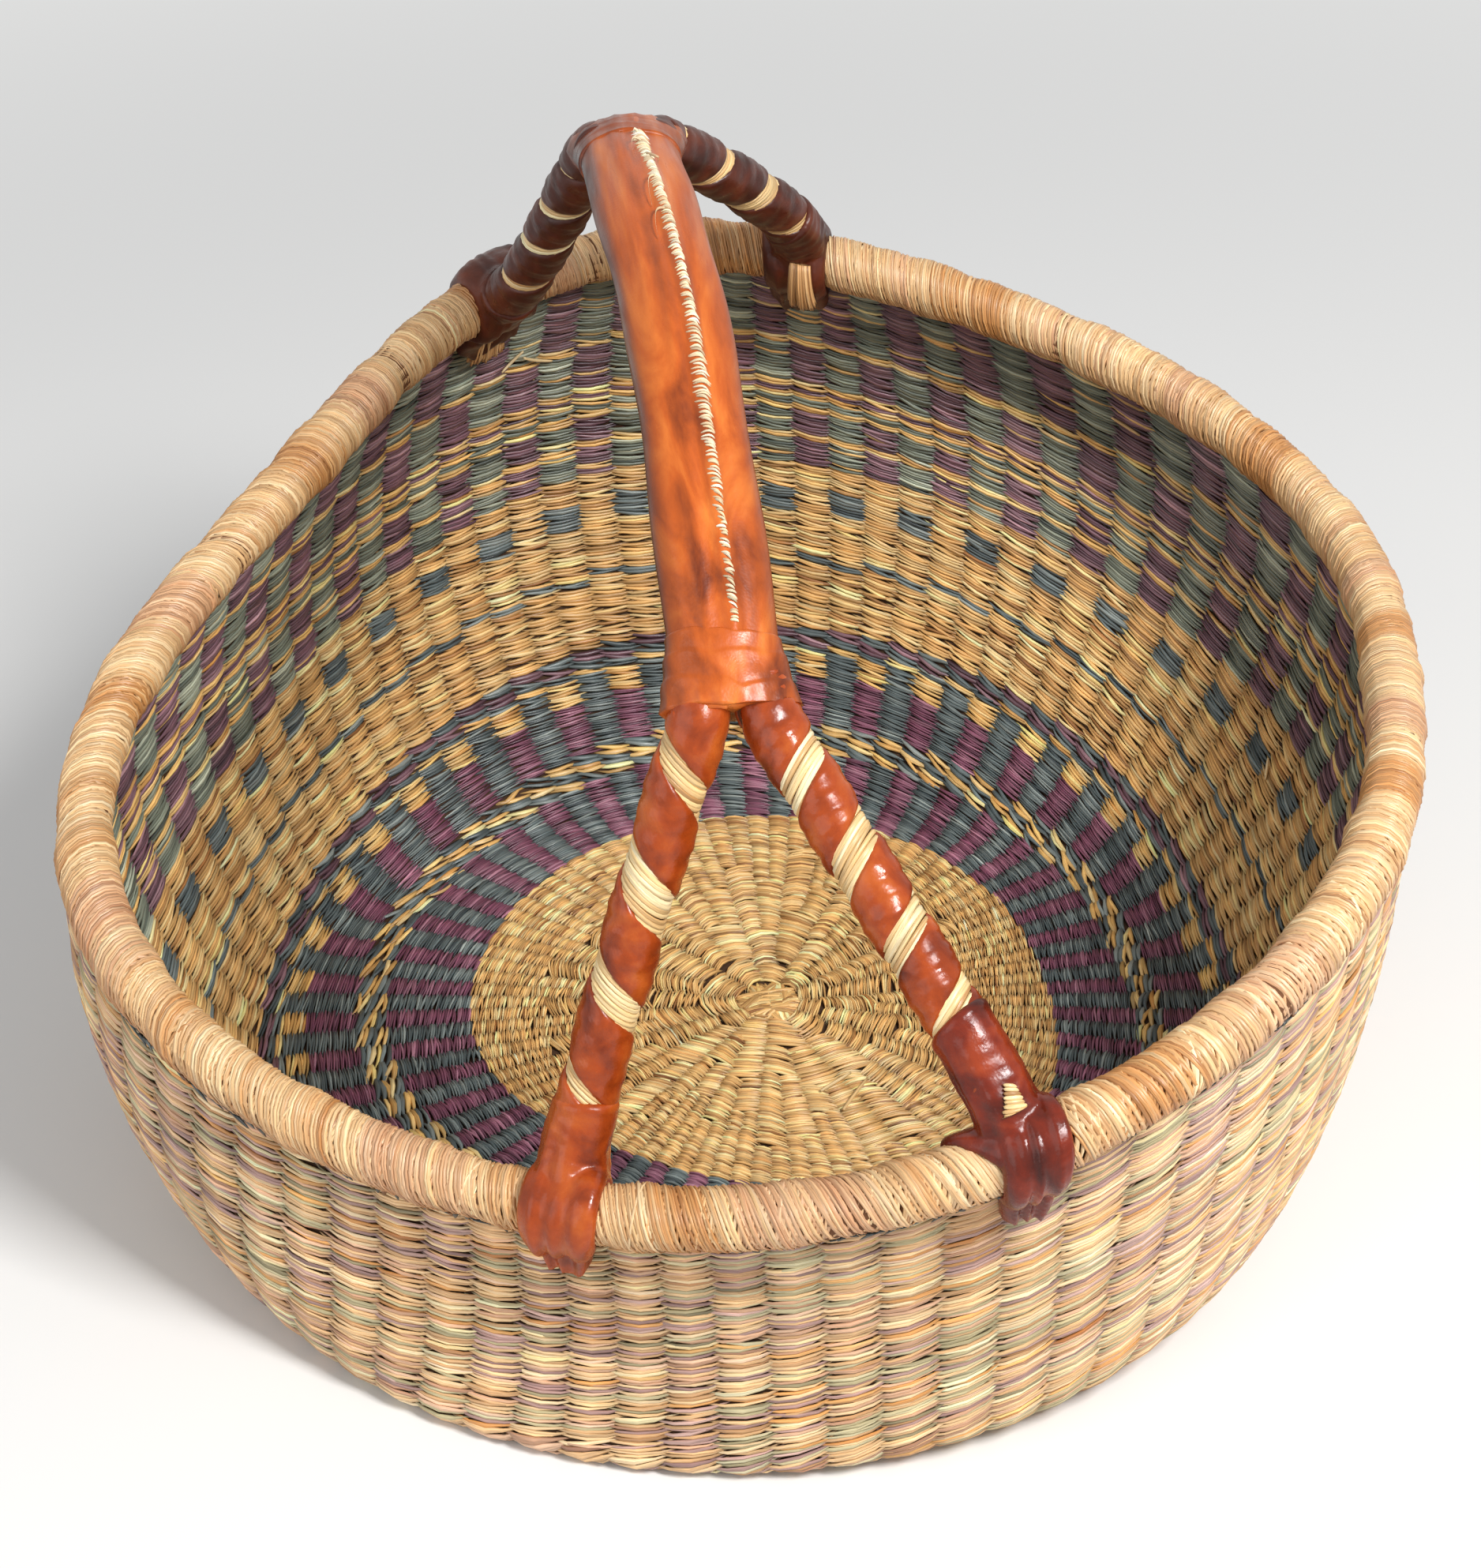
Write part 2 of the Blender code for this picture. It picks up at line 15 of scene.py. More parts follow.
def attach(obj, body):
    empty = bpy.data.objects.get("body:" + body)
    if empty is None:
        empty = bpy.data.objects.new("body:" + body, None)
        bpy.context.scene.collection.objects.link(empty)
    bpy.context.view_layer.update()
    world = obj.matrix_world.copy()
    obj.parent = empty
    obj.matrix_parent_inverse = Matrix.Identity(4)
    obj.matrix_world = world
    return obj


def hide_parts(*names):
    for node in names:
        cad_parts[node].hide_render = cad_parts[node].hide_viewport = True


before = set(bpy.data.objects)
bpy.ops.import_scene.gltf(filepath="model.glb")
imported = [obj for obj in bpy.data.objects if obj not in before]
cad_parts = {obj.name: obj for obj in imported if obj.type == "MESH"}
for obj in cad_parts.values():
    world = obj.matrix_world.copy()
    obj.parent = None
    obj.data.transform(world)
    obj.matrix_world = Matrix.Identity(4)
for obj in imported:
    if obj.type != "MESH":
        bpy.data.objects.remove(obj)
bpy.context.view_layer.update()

MM = 0.001

# Bowl, as in the model
WEAVE_START = np.array((0.00568, 0.02902, 0.0))
WALL = 0.0065
STAKES = 88
BASE_RADIUS = 0.166
BASE_SHIFT = (-0.017, -0.049)
RIM_RADIUS = 0.2035
RIM_HEIGHT = 0.1605
FLARE = 0.034
SHOULDER = 0.088
TOP_LEAN_DEG = 110.0
RIM_RADIUS_WAVE_SHARES = ((0.02, -0.19), (0.027, 0.0), (-0.027, 0.005), (0.015, 0.065))
RIM_HEIGHT_WAVE_SHARES = ((0.075, 0.31), (-0.06, -0.135), (-0.08, -0.03), (-0.015, 0.01))
FLARE_WAVE_SHARES = ((0.0, 0.33), (-0.38, 0.0))
SHOULDER_WAVE_SHARES = ((0.0, 0.22), (-0.31, 0.0))
TOP_LEAN_WAVE_SHARES = ((0.0, 0.24), (0.09, 0.0))
ROLL_RADIUS = 0.010

# Handle, as in the model
FRONT_FEET_DEG = (247.0, 279.0)
BACK_FEET_DEG = (116.0, 76.0)
CUFF_WIDTH = 0.032
CUFF_LEATHER = 0.0025
CUFF_CLEARANCE = 0.0007
CUFF_SKIRT = 0.014
ARCH_RISE_FRONT = 0.139
ARCH_RISE_BACK = 0.130
ARCH_LEAN_FRONT = 0.005
ARCH_LEAN_BACK = 0.011
ARCH_CHANGE_FROM_DEG = 80.0
ARCH_CHANGE_OVER_DEG = 45.0
GRIP_START_DEG = 48.0
GRIP_END_DEG = 128.0
BUNDLE_SPREAD = 0.0078
FRONT_FOOT_TURNS_DEG = (45.0, 40.0)
BACK_FOOT_TURNS_DEG = (30.0, 0.0)
FOOT_BEND = 0.020
MOUTH_BEND = 0.008
MOUTH_FLARE = 0.003
LEG_FOOT_CLEARANCE = 0.0009
GRIP_HALF_WIDTH = 0.0160
GRIP_HALF_DEPTH = 0.0100
COLLAR_LENGTH = 0.022
LEG_ENDS = {
    "front": (FRONT_FEET_DEG, FRONT_FOOT_TURNS_DEG, GRIP_START_DEG, 1),
    "back": (BACK_FEET_DEG, BACK_FOOT_TURNS_DEG, GRIP_END_DEG, -1),
}
# How much further apart the legs come out of the grip's mouths than the bundles lie inside it
MOUTH_ASIDE = 0.0016

# Which way the strips wind on the right-hand legs. Then, for each leg, the turn in degrees that faces the camera and
# its pale bands from the foot up: distance from the foot and width in mm
LEG_HANDS = {"front": -1, "back": 1}
LEG_BANDS = {
    ("front", "left"): (97.2, ((23.2, 5.0), (55.8, 10.0), (90.0, 15.0), (127.1, 8.5))),
    ("front", "right"): (94.7, ((31.2, 5.0), (54.9, 8.0), (82.3, 10.0), (109.3, 9.0))),
    ("back", "left"): (128.7, ((24.6, 4.0), (49.4, 3.5), (70.7, 3.5))),
    ("back", "right"): (44.5, ((18.9, 3.5), (47.2, 7.5), (75.8, 4.5))),
}
BEYOND_MOUTH_DEG = (1.2, 2.4, 3.6, 4.8, 6.0, 7.2, 8.4)
# Feet in mm: width of the leather on top of the rim, at the bottom outside and at the bottom inside
CUFF_WIDTHS_MM = {
    ("front", "left"): (25.0, 15.0, 22.0),
    ("front", "right"): (19.0, 14.0, 18.0),
    ("back", "left"): (25.0, 17.0, 25.0),
    ("back", "right"): (24.0, 19.0, 20.0),
}
# How far beside the foot's middle the leather over the rim sits, in mm
CUFF_ASIDE_MM = {("front", "left"): 0.0, ("front", "right"): 3.5, ("back", "left"): -1.5, ("back", "right"): 1.5}
# Height of the leg's last leather above the cuff, its width where they meet and the depth of its rings, in mm
ANKLES_MM = {
    ("front", "left"): (20.5, 23.0, 0.15),
    ("front", "right"): (28.5, 20.0, 0.12),
    ("back", "left"): (4.0, 21.0, 0.5),
    ("back", "right"): (16.0, 21.0, 0.3),
}
# Straps over the rim beside a foot: from and to, each as mm beside the foot and degrees round the roll, and width
STRAPS = {
    ("front", "left"): (),
    ("front", "right"): (((-10.5, -85.0), (1.0, 65.0), 11.0),),
    ("back", "left"): (((2.0, 20.0), (10.0, -110.0), 7.0),),
    ("back", "right"): (),
}
# Straw ends of each foot: mm beside it, from and to in mm below the rim, half-width in mm, and False. Where they lie
# over the roll, from and to are degrees round it, and the last is True
TUFTS = {
    ("front", "left"): (0.0, 14.0, 30.0, 5.2, False),
    ("front", "right"): (0.0, 14.0, 30.0, 5.2, False),
    ("back", "left"): (-2.0, 14.0, 28.0, 5.6, False),
    ("back", "right"): (-2.0, 38.0, 112.0, 5.0, True),
}
# Loose straws that lie on the inside: angle, way in mm, heading in degrees from the rows, length and lift in mm
STRAY_STRAWS = (
    (290.0, 60.0, -40.0, 19.0, 0.5),
    (287.0, 52.0, -25.0, 14.0, 0.8),
    (143.0, 136.0, 15.0, 11.0, 1.5),
    (108.0, 307.0, 32.0, 16.0, 1.8),
    (111.0, 311.0, -20.0, 11.0, 2.5),
    (40.0, 316.0, 25.0, 10.0, 1.5),
    (12.0, 236.0, 60.0, 8.0, 1.2),
)
# Loose ends of the seam's thread: share of the grip's length, length in mm and bend
THREAD_ENDS = ((0.74, 15, 1.0), (0.81, 8, -1.0), (0.66, 11, 1.3), (0.90, 7, 0.6), (0.86, 6, 1.1))

# Weave: one stitch crosses one stake column in each row, on each face
PHASE_DEG = -1.2
COLUMN = 2 * math.pi / STAKES
WAY_MM = 353.0
ANGLE_STEPS = 704
WAY_STEPS = 700
STITCH_RINGS = (0.0, 0.10, 0.28, 0.50, 0.72, 0.90, 1.0)
STRAND_SIDES = 6
# Each stitch is two thin strands side by side: their places in pitches, their width as a share and their sides
PLY_PLACES = (-0.25, 0.25)
PLY_WIDTH_SHARE = 0.60
PLY_SIDES = 5
STITCH_OVERLAP = 1.62
FACES_PER_PLY = 66
FACES_PER_PIECE = 180000
# Rise and sag of a stitch in pitches, then how deep its ends go and its thickness in mm
INSIDE_SHAPE = (1.15, 0.12, 1.9, 0.62)
OUTSIDE_SHAPE = (0.55, 0.55, 2.2, 0.62)
FLOOR_SHAPE = (1.05, -0.12, 2.2, 0.62)
# How steeply the floor's stitches cross the bundles of stakes, to the left and to the right in turn
FLOOR_SLOPE = 0.36
ROLL_COVER_MM = {-1: 9.0, 1: 5.0}
WAVER_FROM_MM = 215.0
WAVER_TO_MM = 300.0
WAVER_MM = 7.0
WAVER_TWO_MM = 4.0
GROUP_SIZES = (8, 4, 2, 1)
GROUP_SPLIT_MM = (24.0, 44.0, 76.0)
GROUP_JITTER_SHARE = 0.16
KNOT_MM = 11.0
KNOT_LAYERS = 4
# Layers of the rim's winding: strands, depth under the outer one in mm, slant as a share and a word for the name
RIM_LAYERS = ((1500, 0.0, 1.0, "over"), (1400, 0.34, -0.4, "under"))

# Bands of the inside from the floor's start to the rim: end in mm, rows, pattern
BANDS = (
    (108.0, 60, "natural"),
    (138.8, 17, "stripes"),
    (149.7, 3, "dashes"),
    (168.0, 11, "stripes"),
    (176.9, 4, "bright_checks"),
    (179.2, 1, "swapped"),
    (185.5, 2, "rope"),
    (208.3, 9, "natural"),
    (212.9, 2, "climbing"),
    (229.5, 7, "natural"),
    (239.0, 4, "dots"),
    (248.5, 4, "natural"),
    (258.8, 5, "checks"),
    (261.4, 1, "yellow"),
    (271.2, 4, "checks"),
    (273.9, 1, "yellow"),
    (276.7, 1, "grey"),
    (279.3, 1, "yellow"),
    (281.3, 1, "purple"),
    (284.3, 1, "yellow"),
    (303.2, 7, "checks"),
    (306.0, 1, "yellow"),
    (353.0, 18, "swapped_checks"),
)
# What each pattern shows on even columns, and on odd ones, in even rows. Some swap from row to row.
PATTERNS = {
    "natural": ("natural", "natural", False),
    "stripes": ("blue", "magenta", False),
    "dashes": ("yellow", "blue", True),
    "bright_checks": ("blue", "yellow", False),
    "swapped": ("yellow", "blue", False),
    "rope": ("blue", "purple", True),
    "climbing": ("blue", "natural", True),
    "dots": ("blue", "natural", False),
    "checks": ("grey", "purple", False),
    "yellow": ("yellow", "yellow", False),
    "grey": ("grey", "grey", False),
    "purple": ("purple", "purple", False),
    "swapped_checks": ("purple", "grey", False),
}
# Straw and leather colours as screen values: usual, pale and deep tone
TONES = {
    "natural": ((226, 178, 110), (252, 226, 166), (152, 100, 52)),
    "blue": ((92, 103, 103), (154, 162, 156), (48, 57, 60)),
    "magenta": ((124, 72, 92), (176, 124, 140), (74, 40, 56)),
    "purple": ((112, 78, 88), (166, 130, 136), (66, 42, 52)),
    "yellow": ((232, 186, 112), (250, 222, 162), (186, 132, 68)),
    "grey": ((116, 122, 106), (176, 180, 158), (70, 78, 70)),
    "outer": ((228, 186, 134), (248, 222, 178), (178, 128, 82)),
    "outer_pink": ((214, 168, 132), (236, 200, 168), (164, 116, 88)),
    "outer_mauve": ((172, 136, 126), (202, 168, 154), (126, 94, 90)),
    "outer_olive": ((186, 172, 130), (210, 200, 162), (134, 122, 90)),
    "outer_gold": ((222, 160, 90), (244, 198, 128), (168, 106, 52)),
    "tuft": ((206, 158, 104), (236, 198, 146), (140, 92, 52)),
    "rim": ((222, 182, 130), (248, 224, 180), (176, 124, 76)),
    "rim_pink": ((206, 158, 116), (234, 198, 158), (156, 104, 70)),
    "rim_gold": ((196, 138, 80), (226, 176, 116), (146, 92, 46)),
    # Painted shade, used at the ends of the rim's strands and on the fringe under the roll
    "rim_painted_shade": ((176, 112, 62), (208, 150, 94), (124, 70, 36)),
    "leg_straw": ((230, 196, 138), (248, 228, 184), (186, 138, 84)),
    "thread": ((232, 212, 174), (250, 240, 216), (196, 160, 120)),
}


def linear(screen):
    """Scene colour of a screen colour given from 0 to 255."""
    values = np.asarray(screen, float) / 255
    return np.where(values <= 0.04045, values / 12.92, ((values + 0.055) / 1.055) ** 2.4)


def random_for(name):
    """The same random source for a name on every run."""
    return np.random.default_rng(sum(name.encode()))


def tints(kind, count, random, spread=0.15, mixing=0.42):
    """Colours of so many strands of one kind: a mix of its tones, each a little lighter or darker."""
    usual, pale, deep = (linear(tone) for tone in TONES[kind])
    mix = random.normal(0, mixing, count)
    toned = usual + np.clip(mix, 0, 1)[:, None] * (pale - usual) + np.clip(-mix, 0, 1)[:, None] * (deep - usual)
    return np.clip(toned * np.exp(random.normal(0, spread, count))[:, None], 0.004, 0.9)


def wave(angle, mean, shares):
    """A size that swings round the basket: its mean times one plus the waves' shares."""
    swing = np.ones_like(angle)
    for order, (cosine_share, sine_share) in enumerate(shares, start=1):
        swing = swing + cosine_share * np.cos(order * angle) + sine_share * np.sin(order * angle)
    return mean * swing


def wall_controls(angle):
    """The four control points, as (radius, height), of the wall's middle surface at these angles."""
    lean = np.radians(wave(angle, TOP_LEAN_DEG, TOP_LEAN_WAVE_SHARES))
    shoulder = wave(angle, SHOULDER, SHOULDER_WAVE_SHARES)
    radius = wave(angle, RIM_RADIUS, RIM_RADIUS_WAVE_SHARES)
    height = wave(angle, RIM_HEIGHT, RIM_HEIGHT_WAVE_SHARES)
    base = BASE_RADIUS + BASE_SHIFT[0] * np.cos(angle) + BASE_SHIFT[1] * np.sin(angle)
    low = np.stack([base, np.full_like(angle, WALL / 2)], -1)
    top = np.stack([radius, low[..., 1] + height], -1)
    flare = low + np.stack([wave(angle, FLARE, FLARE_WAVE_SHARES), np.zeros_like(angle)], -1)
    below = top - shoulder[..., None] * np.stack([np.cos(lean), np.sin(lean)], -1)
    return low, flare, below, top


def bezier(controls, share):
    a, b, c, d = controls
    rest = 1 - share
    return a * rest**3 + b * 3 * share * rest**2 + c * 3 * share**2 * rest + d * share**3


def way_table():
    """Radius, height and outward direction of the middle surface, by angle and by even steps of the way."""
    angles = np.arange(ANGLE_STEPS) * 2 * math.pi / ANGLE_STEPS
    low, flare, below, top = wall_controls(angles)
    share = np.linspace(0, 1, WAY_STEPS)[None, :, None]
    wall = bezier((low[:, None], flare[:, None], below[:, None], top[:, None]), share)
    out = np.linspace(0, 1, WAY_STEPS, endpoint=False)[None, :, None]
    floor = np.concatenate([out * low[:, None, :1], np.full((ANGLE_STEPS, WAY_STEPS, 1), WALL / 2)], -1)
    line = np.concatenate([floor, wall], 1)
    step = np.linalg.norm(np.diff(line, axis=1), axis=2)
    run = np.concatenate([np.zeros((ANGLE_STEPS, 1)), np.cumsum(step, 1)], 1)
    even = np.linspace(0, 1, WAY_STEPS)
    made = np.empty((ANGLE_STEPS, WAY_STEPS, 4))
    for i in range(ANGLE_STEPS):
        for axis in (0, 1):
            made[i, :, axis] = np.interp(even * run[i, -1], run[i], line[i, :, axis])
    along = np.gradient(made[..., :2], axis=1)
    along /= np.linalg.norm(along, axis=2, keepdims=True)
    made[..., 2] = along[..., 1]
    made[..., 3] = -along[..., 0]
    return made


WAY = way_table()


def surface(angle, mm, offset):
    """Points at this angle and way in mm, this far outside the middle surface (inside if negative)."""
    a = np.mod(angle, 2 * math.pi) * ANGLE_STEPS / (2 * math.pi)
    s = np.clip(mm / WAY_MM, 0, 1) * (WAY_STEPS - 1)
    a0 = np.floor(a).astype(int)
    s0 = np.minimum(np.floor(s).astype(int), WAY_STEPS - 2)
    fa = (a - a0)[..., None]
    fs = (s - s0)[..., None]
    a1 = (a0 + 1) % ANGLE_STEPS
    a0 = a0 % ANGLE_STEPS
    row = (WAY[a0, s0] * (1 - fa) + WAY[a1, s0] * fa) * (1 - fs) + (WAY[a0, s0 + 1] * (1 - fa) + WAY[a1, s0 + 1] * fa) * fs
    radius = row[..., 0] + row[..., 2] * offset
    height = row[..., 1] + row[..., 3] * offset
    return np.stack([radius * np.cos(angle), radius * np.sin(angle), height], -1) + WEAVE_START


def rim_frames(angle):
    """Centre of the rim roll, the direction up out of the wall and the outward direction, at these angles."""
    controls = wall_controls(angle)
    depth_share = 1 - ROLL_RADIUS / (3 * wave(angle, SHOULDER, SHOULDER_WAVE_SHARES))
    rise = controls[3] - bezier(controls, depth_share[..., None])
    rise /= np.linalg.norm(rise, axis=-1, keepdims=True)
    turn = np.stack([np.cos(angle), np.sin(angle)], -1)
    centre = np.concatenate([controls[3][..., :1] * turn, controls[3][..., 1:]], -1) + WEAVE_START
    up = np.concatenate([rise[..., :1] * turn, rise[..., 1:]], -1)
    out = np.concatenate([rise[..., 1:] * turn, -rise[..., :1]], -1)
    return centre, up, out


def new_object(name, vertices, corners, totals, finish, replaced=()):
    """A mesh piece from flat lists of face corners and of corners per face."""
    mesh = bpy.data.meshes.new(name)
    mesh.vertices.add(len(vertices))
    mesh.vertices.foreach_set("co", np.asarray(vertices, np.float32).ravel())
    mesh.loops.add(len(corners))
    mesh.loops.foreach_set("vertex_index", np.asarray(corners, np.int32))
    mesh.polygons.add(len(totals))
    starts = np.concatenate([[0], np.cumsum(totals)[:-1]])
    mesh.polygons.foreach_set("loop_start", starts.astype(np.int32))
    mesh.polygons.foreach_set("loop_total", np.asarray(totals, np.int32))
    mesh.polygons.foreach_set("use_smooth", np.ones(len(totals), bool))
    mesh.update(calc_edges=True)
    mesh.materials.append(finish)
    made = bpy.data.objects.new(name, mesh)
    bpy.context.scene.collection.objects.link(made)
    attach(made, "root")
    if replaced:
        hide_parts(*replaced)
    return made


def faces_out(rings):
    """The rings with their sides in the order that makes the faces point out."""
    first = rings[0]
    middle = first.mean((0, 1))
    here = first[:-1] - middle
    there = first[1:] - middle
    volume = np.einsum("rsk,rsk->", np.cross(here, np.roll(here, -1, 1)), there)
    return rings if volume > 0 else rings[:, :, ::-1]


def strands(name, rings, colours, finish, replaced=()):
    """Closed tubes in one piece. rings is (tube, ring, side, xyz); colours is (tube, rgb) or (tube, ring, rgb)."""
    rings = faces_out(np.asarray(rings, float))
    count, ring_count, sides, _ = rings.shape
    colours = np.asarray(colours, float)
    if colours.ndim == 2:
        colours = np.repeat(colours[:, None], ring_count, 1)
    index = np.arange(count * ring_count * sides).reshape(count, ring_count, sides)
    here = index[:, :-1]
    there = index[:, 1:]
    quads = np.stack([here, np.roll(here, -1, 2), np.roll(there, -1, 2), there], -1).reshape(-1)
    caps = np.concatenate([index[:, 0, ::-1], index[:, -1]], 0).reshape(-1)
    totals = np.concatenate([np.full(len(quads) // 4, 4), np.full(2 * count, sides)])
    made = new_object(name, rings.reshape(-1, 3), np.concatenate([quads, caps]), totals, finish, replaced)
    mesh = made.data
    tint = mesh.color_attributes.new("tint", "FLOAT_COLOR", "POINT")
    values = np.ones((count, ring_count, sides, 4), np.float32)
    values[..., :3] = colours[:, :, None]
    tint.data.foreach_set("color", values.ravel())
    lengths = np.linalg.norm(np.diff(rings.mean(2), axis=1), axis=2)
    along = np.concatenate([np.zeros((count, 1)), np.cumsum(lengths, 1)], 1)
    add_strand_maps(mesh, along, count, ring_count, sides)
    return made


def add_strand_maps(mesh, along, count, ring_count, sides):
    """One map by length and turn for the grain, and one with a cell of its own for each tube."""
    tube = np.arange(count)[:, None, None]
    side = np.arange(sides)[None, None, :]
    here = np.broadcast_to(along[:, :-1, None], (count, ring_count - 1, sides))
    there = np.broadcast_to(along[:, 1:, None], (count, ring_count - 1, sides))
    low = np.broadcast_to(side / sides, here.shape)
    high = low + 1 / sides
    length = along[:, -1:, None]
    u = np.stack([here, here, there, there], -1)
    v = np.stack([low, high, high, low], -1)
    cap_length = np.concatenate([np.zeros((count, sides)), np.repeat(along[:, -1:], sides, 1)], 0)
    cap_turn = np.tile(np.arange(sides) / sides, (2 * count, 1))
    grain = mesh.uv_layers.new(name="grain")
    numbers = np.repeat(np.arange(count), (ring_count - 1) * sides * 4)
    cap_numbers = np.repeat(np.concatenate([np.arange(count), np.arange(count)]), sides)
    all_u = np.concatenate([u.reshape(-1), cap_length.reshape(-1)])
    all_v = np.concatenate([v.reshape(-1), cap_turn.reshape(-1)])
    all_numbers = np.concatenate([numbers, cap_numbers])
    full = np.concatenate([np.broadcast_to(length[..., None], u.shape).reshape(-1),
                           np.repeat(np.concatenate([along[:, -1], along[:, -1]]), sides)])
    flat = np.stack([all_u * 100 + all_numbers * 1.37, all_v + all_numbers * 2.0], -1)
    grain.data.foreach_set("uv", flat.astype(np.float32).ravel())
    cells = math.ceil(math.sqrt(count))
    share = np.clip(all_u / np.maximum(full, 1e-9), 0, 1) * 0.8 + 0.1
    turn = all_v * 0.8 + 0.1
    bake = mesh.uv_layers.new(name="OFBake")
    cell = np.stack([(all_numbers % cells + share) / cells, (all_numbers // cells + turn) / cells], -1)
    bake.data.foreach_set("uv", cell.astype(np.float32).ravel())
    mesh.uv_layers.active = grain


def way_stitches(angle, mm, span, pitch, side, random, shape, hand=1.0):
    """Rings of the pointed strands of stitches and their painted shade, the first strand of all stitches and then the
    second.

    angle, mm, span and pitch are one value each, side is -1 inside and hand turns the slant round where it is -1.
    """
    mm = np.concatenate([mm + place * pitch for place in PLY_PLACES])
    hand = hand * np.ones(len(angle))
    angle, span, pitch, hand = (np.tile(values, len(PLY_PLACES)) for values in (angle, span, pitch, hand))
    rise, cup, dive, thickness = shape
    count = len(angle)
    t = np.array(STITCH_RINGS)[None, :]
    angle = angle + random.normal(0, 0.035, count) * span
    mm = mm + random.normal(0, 0.07, count) * pitch
    rise = rise * hand * random.uniform(0.7, 1.3, count)
    swell = np.sin(math.pi * t)
    a = angle[:, None] + (t - 0.5) * (span * STITCH_OVERLAP * random.uniform(0.9, 1.1, count))[:, None]
    kink = random.normal(0, 0.12, count)[:, None] * np.sin(2 * math.pi * t)
    m = mm[:, None] + pitch[:, None] * (rise[:, None] * (t**2.3 - 0.30) - cup * (swell - 0.6) + kink)
    width = PLY_WIDTH_SHARE * pitch[:, None] * 0.5 * (0.10 + 0.98 * swell**0.95) * random.uniform(0.74, 1.14, count)[:, None]
    thick = thickness * MM * (0.30 + 0.70 * swell**0.6) * random.uniform(0.85, 1.2, count)[:, None]
    sink = (dive * MM * np.minimum(1, span * mm / 9.0))[:, None] * np.abs(2 * t - 1) ** 2.1
    lift = WALL / 2 - thickness * MM - sink - np.abs(random.normal(0, 0.20 * MM, count))[:, None]
    turn = np.arange(PLY_SIDES) * 2 * math.pi / PLY_SIDES
    across = m[..., None] + width[..., None] * np.cos(turn)
    offset = lift[..., None] + thick[..., None] * np.sin(turn)
    around = np.broadcast_to(a[..., None], across.shape)
    # Painted shade: each stitch is darker towards its ends, where it dives under the stakes, and brightest in its
    # middle.
    shade = 0.42 + 0.66 * swell**1.2
    return surface(around, across, side * offset), shade * np.ones((count, 1))


def waver(angle, mm):
    """The way up to a row, which swings round the basket near the rim."""
    ramp = np.clip((mm - WAVER_FROM_MM) / (WAVER_TO_MM - WAVER_FROM_MM), 0, 1)
    fade = np.clip((WAY_MM - mm) / (WAY_MM - WAVER_TO_MM), 0, 1)
    swing = WAVER_MM * np.cos(4 * (angle - math.radians(90))) + WAVER_TWO_MM * np.cos(2 * (angle - math.radians(170)))
    return mm + swing * ramp * fade


def column_angle(column):
    return column * COLUMN + math.radians(PHASE_DEG)


def floor_cells(start, end, rows, random):
    """Stitches of the floor, where the stakes are still in bundles that split on the way out."""
    pitch = (end - start) / rows
    splits = [np.array(GROUP_SPLIT_MM[level]) * (1 + random.uniform(-1, 1, STAKES // size) * GROUP_JITTER_SHARE)
              for level, size in enumerate(GROUP_SIZES[:-1])]
    splits.append(np.full(STAKES, end + 1))
    cells = []
    for level, size in enumerate(GROUP_SIZES):
        for group in range(STAKES // size):
            from_mm = start if level == 0 else splits[level - 1][group // 2]
            to_mm = splits[level][group]
            shift = random.uniform(0, 1)
            for row in range(rows + 1):
                mm = start + (row + shift) * pitch
                if from_mm <= mm < min(to_mm, end):
                    cells.append((column_angle(group * size + (size - 1) / 2), mm, size * COLUMN, pitch, group, size))
    return np.array(cells)


def wall_cells(side):
    """Way, pitch, row and pattern of each row above the natural floor, up to under the roll."""
    start = BANDS[0][0]
    cells = []
    for end, rows, pattern in BANDS[1:]:
        pitch = (end - start) / rows
        for row in range(rows):
            mm = start + (row + 0.5) * pitch
            if mm < WAY_MM - ROLL_COVER_MM[side]:
                cells.append((mm, pitch, row, pattern))
        start = end
    return cells


def inside_kinds(pattern, row):
    even, odd, swaps = PATTERNS[pattern]
    return (odd, even) if swaps and row % 2 else (even, odd)


OUTER_OF = {"grey": "outer_olive", "blue": "outer_olive", "purple": "outer_mauve", "magenta": "outer_mauve"}


def weave_rows(side, word, random, finish):
    """All stitches of one face above the floor, in pieces of a few bands each."""
    angle = column_angle(np.arange(STAKES))
    columns = np.tile(np.arange(STAKES), len(PLY_PLACES))
    shape = INSIDE_SHAPE if side < 0 else OUTSIDE_SHAPE
    batch_rings = []
    batch_tints = []
    part_number = 1
    cells = wall_cells(side)
    for i, (mm, pitch, row, pattern) in enumerate(cells):
        ways = waver(angle, np.full(STAKES, mm))
        rings, shade = way_stitches(angle, ways, np.full(STAKES, COLUMN), np.full(STAKES, pitch), side, random, shape)
        even, odd = inside_kinds(pattern, row)
        if side < 0:
            colours = inner_tints(columns, pattern, even, odd, random)
        else:
            colours = np.concatenate([outer_tints(angle, ways, even, odd, random) for _ in PLY_PLACES])
        batch_rings.append(rings)
        # The painted shade darkens each stitch towards its ends.
        batch_tints.append(colours[:, None] * shade[..., None])
        if (len(batch_rings) + 1) * len(columns) * FACES_PER_PLY > FACES_PER_PIECE or i == len(cells) - 1:
            strands(f"weave_{word}_{part_number}", np.concatenate(batch_rings), np.concatenate(batch_tints), finish,
                    ("woven_bowl",))
            batch_rings = []
            batch_tints = []
            part_number += 1


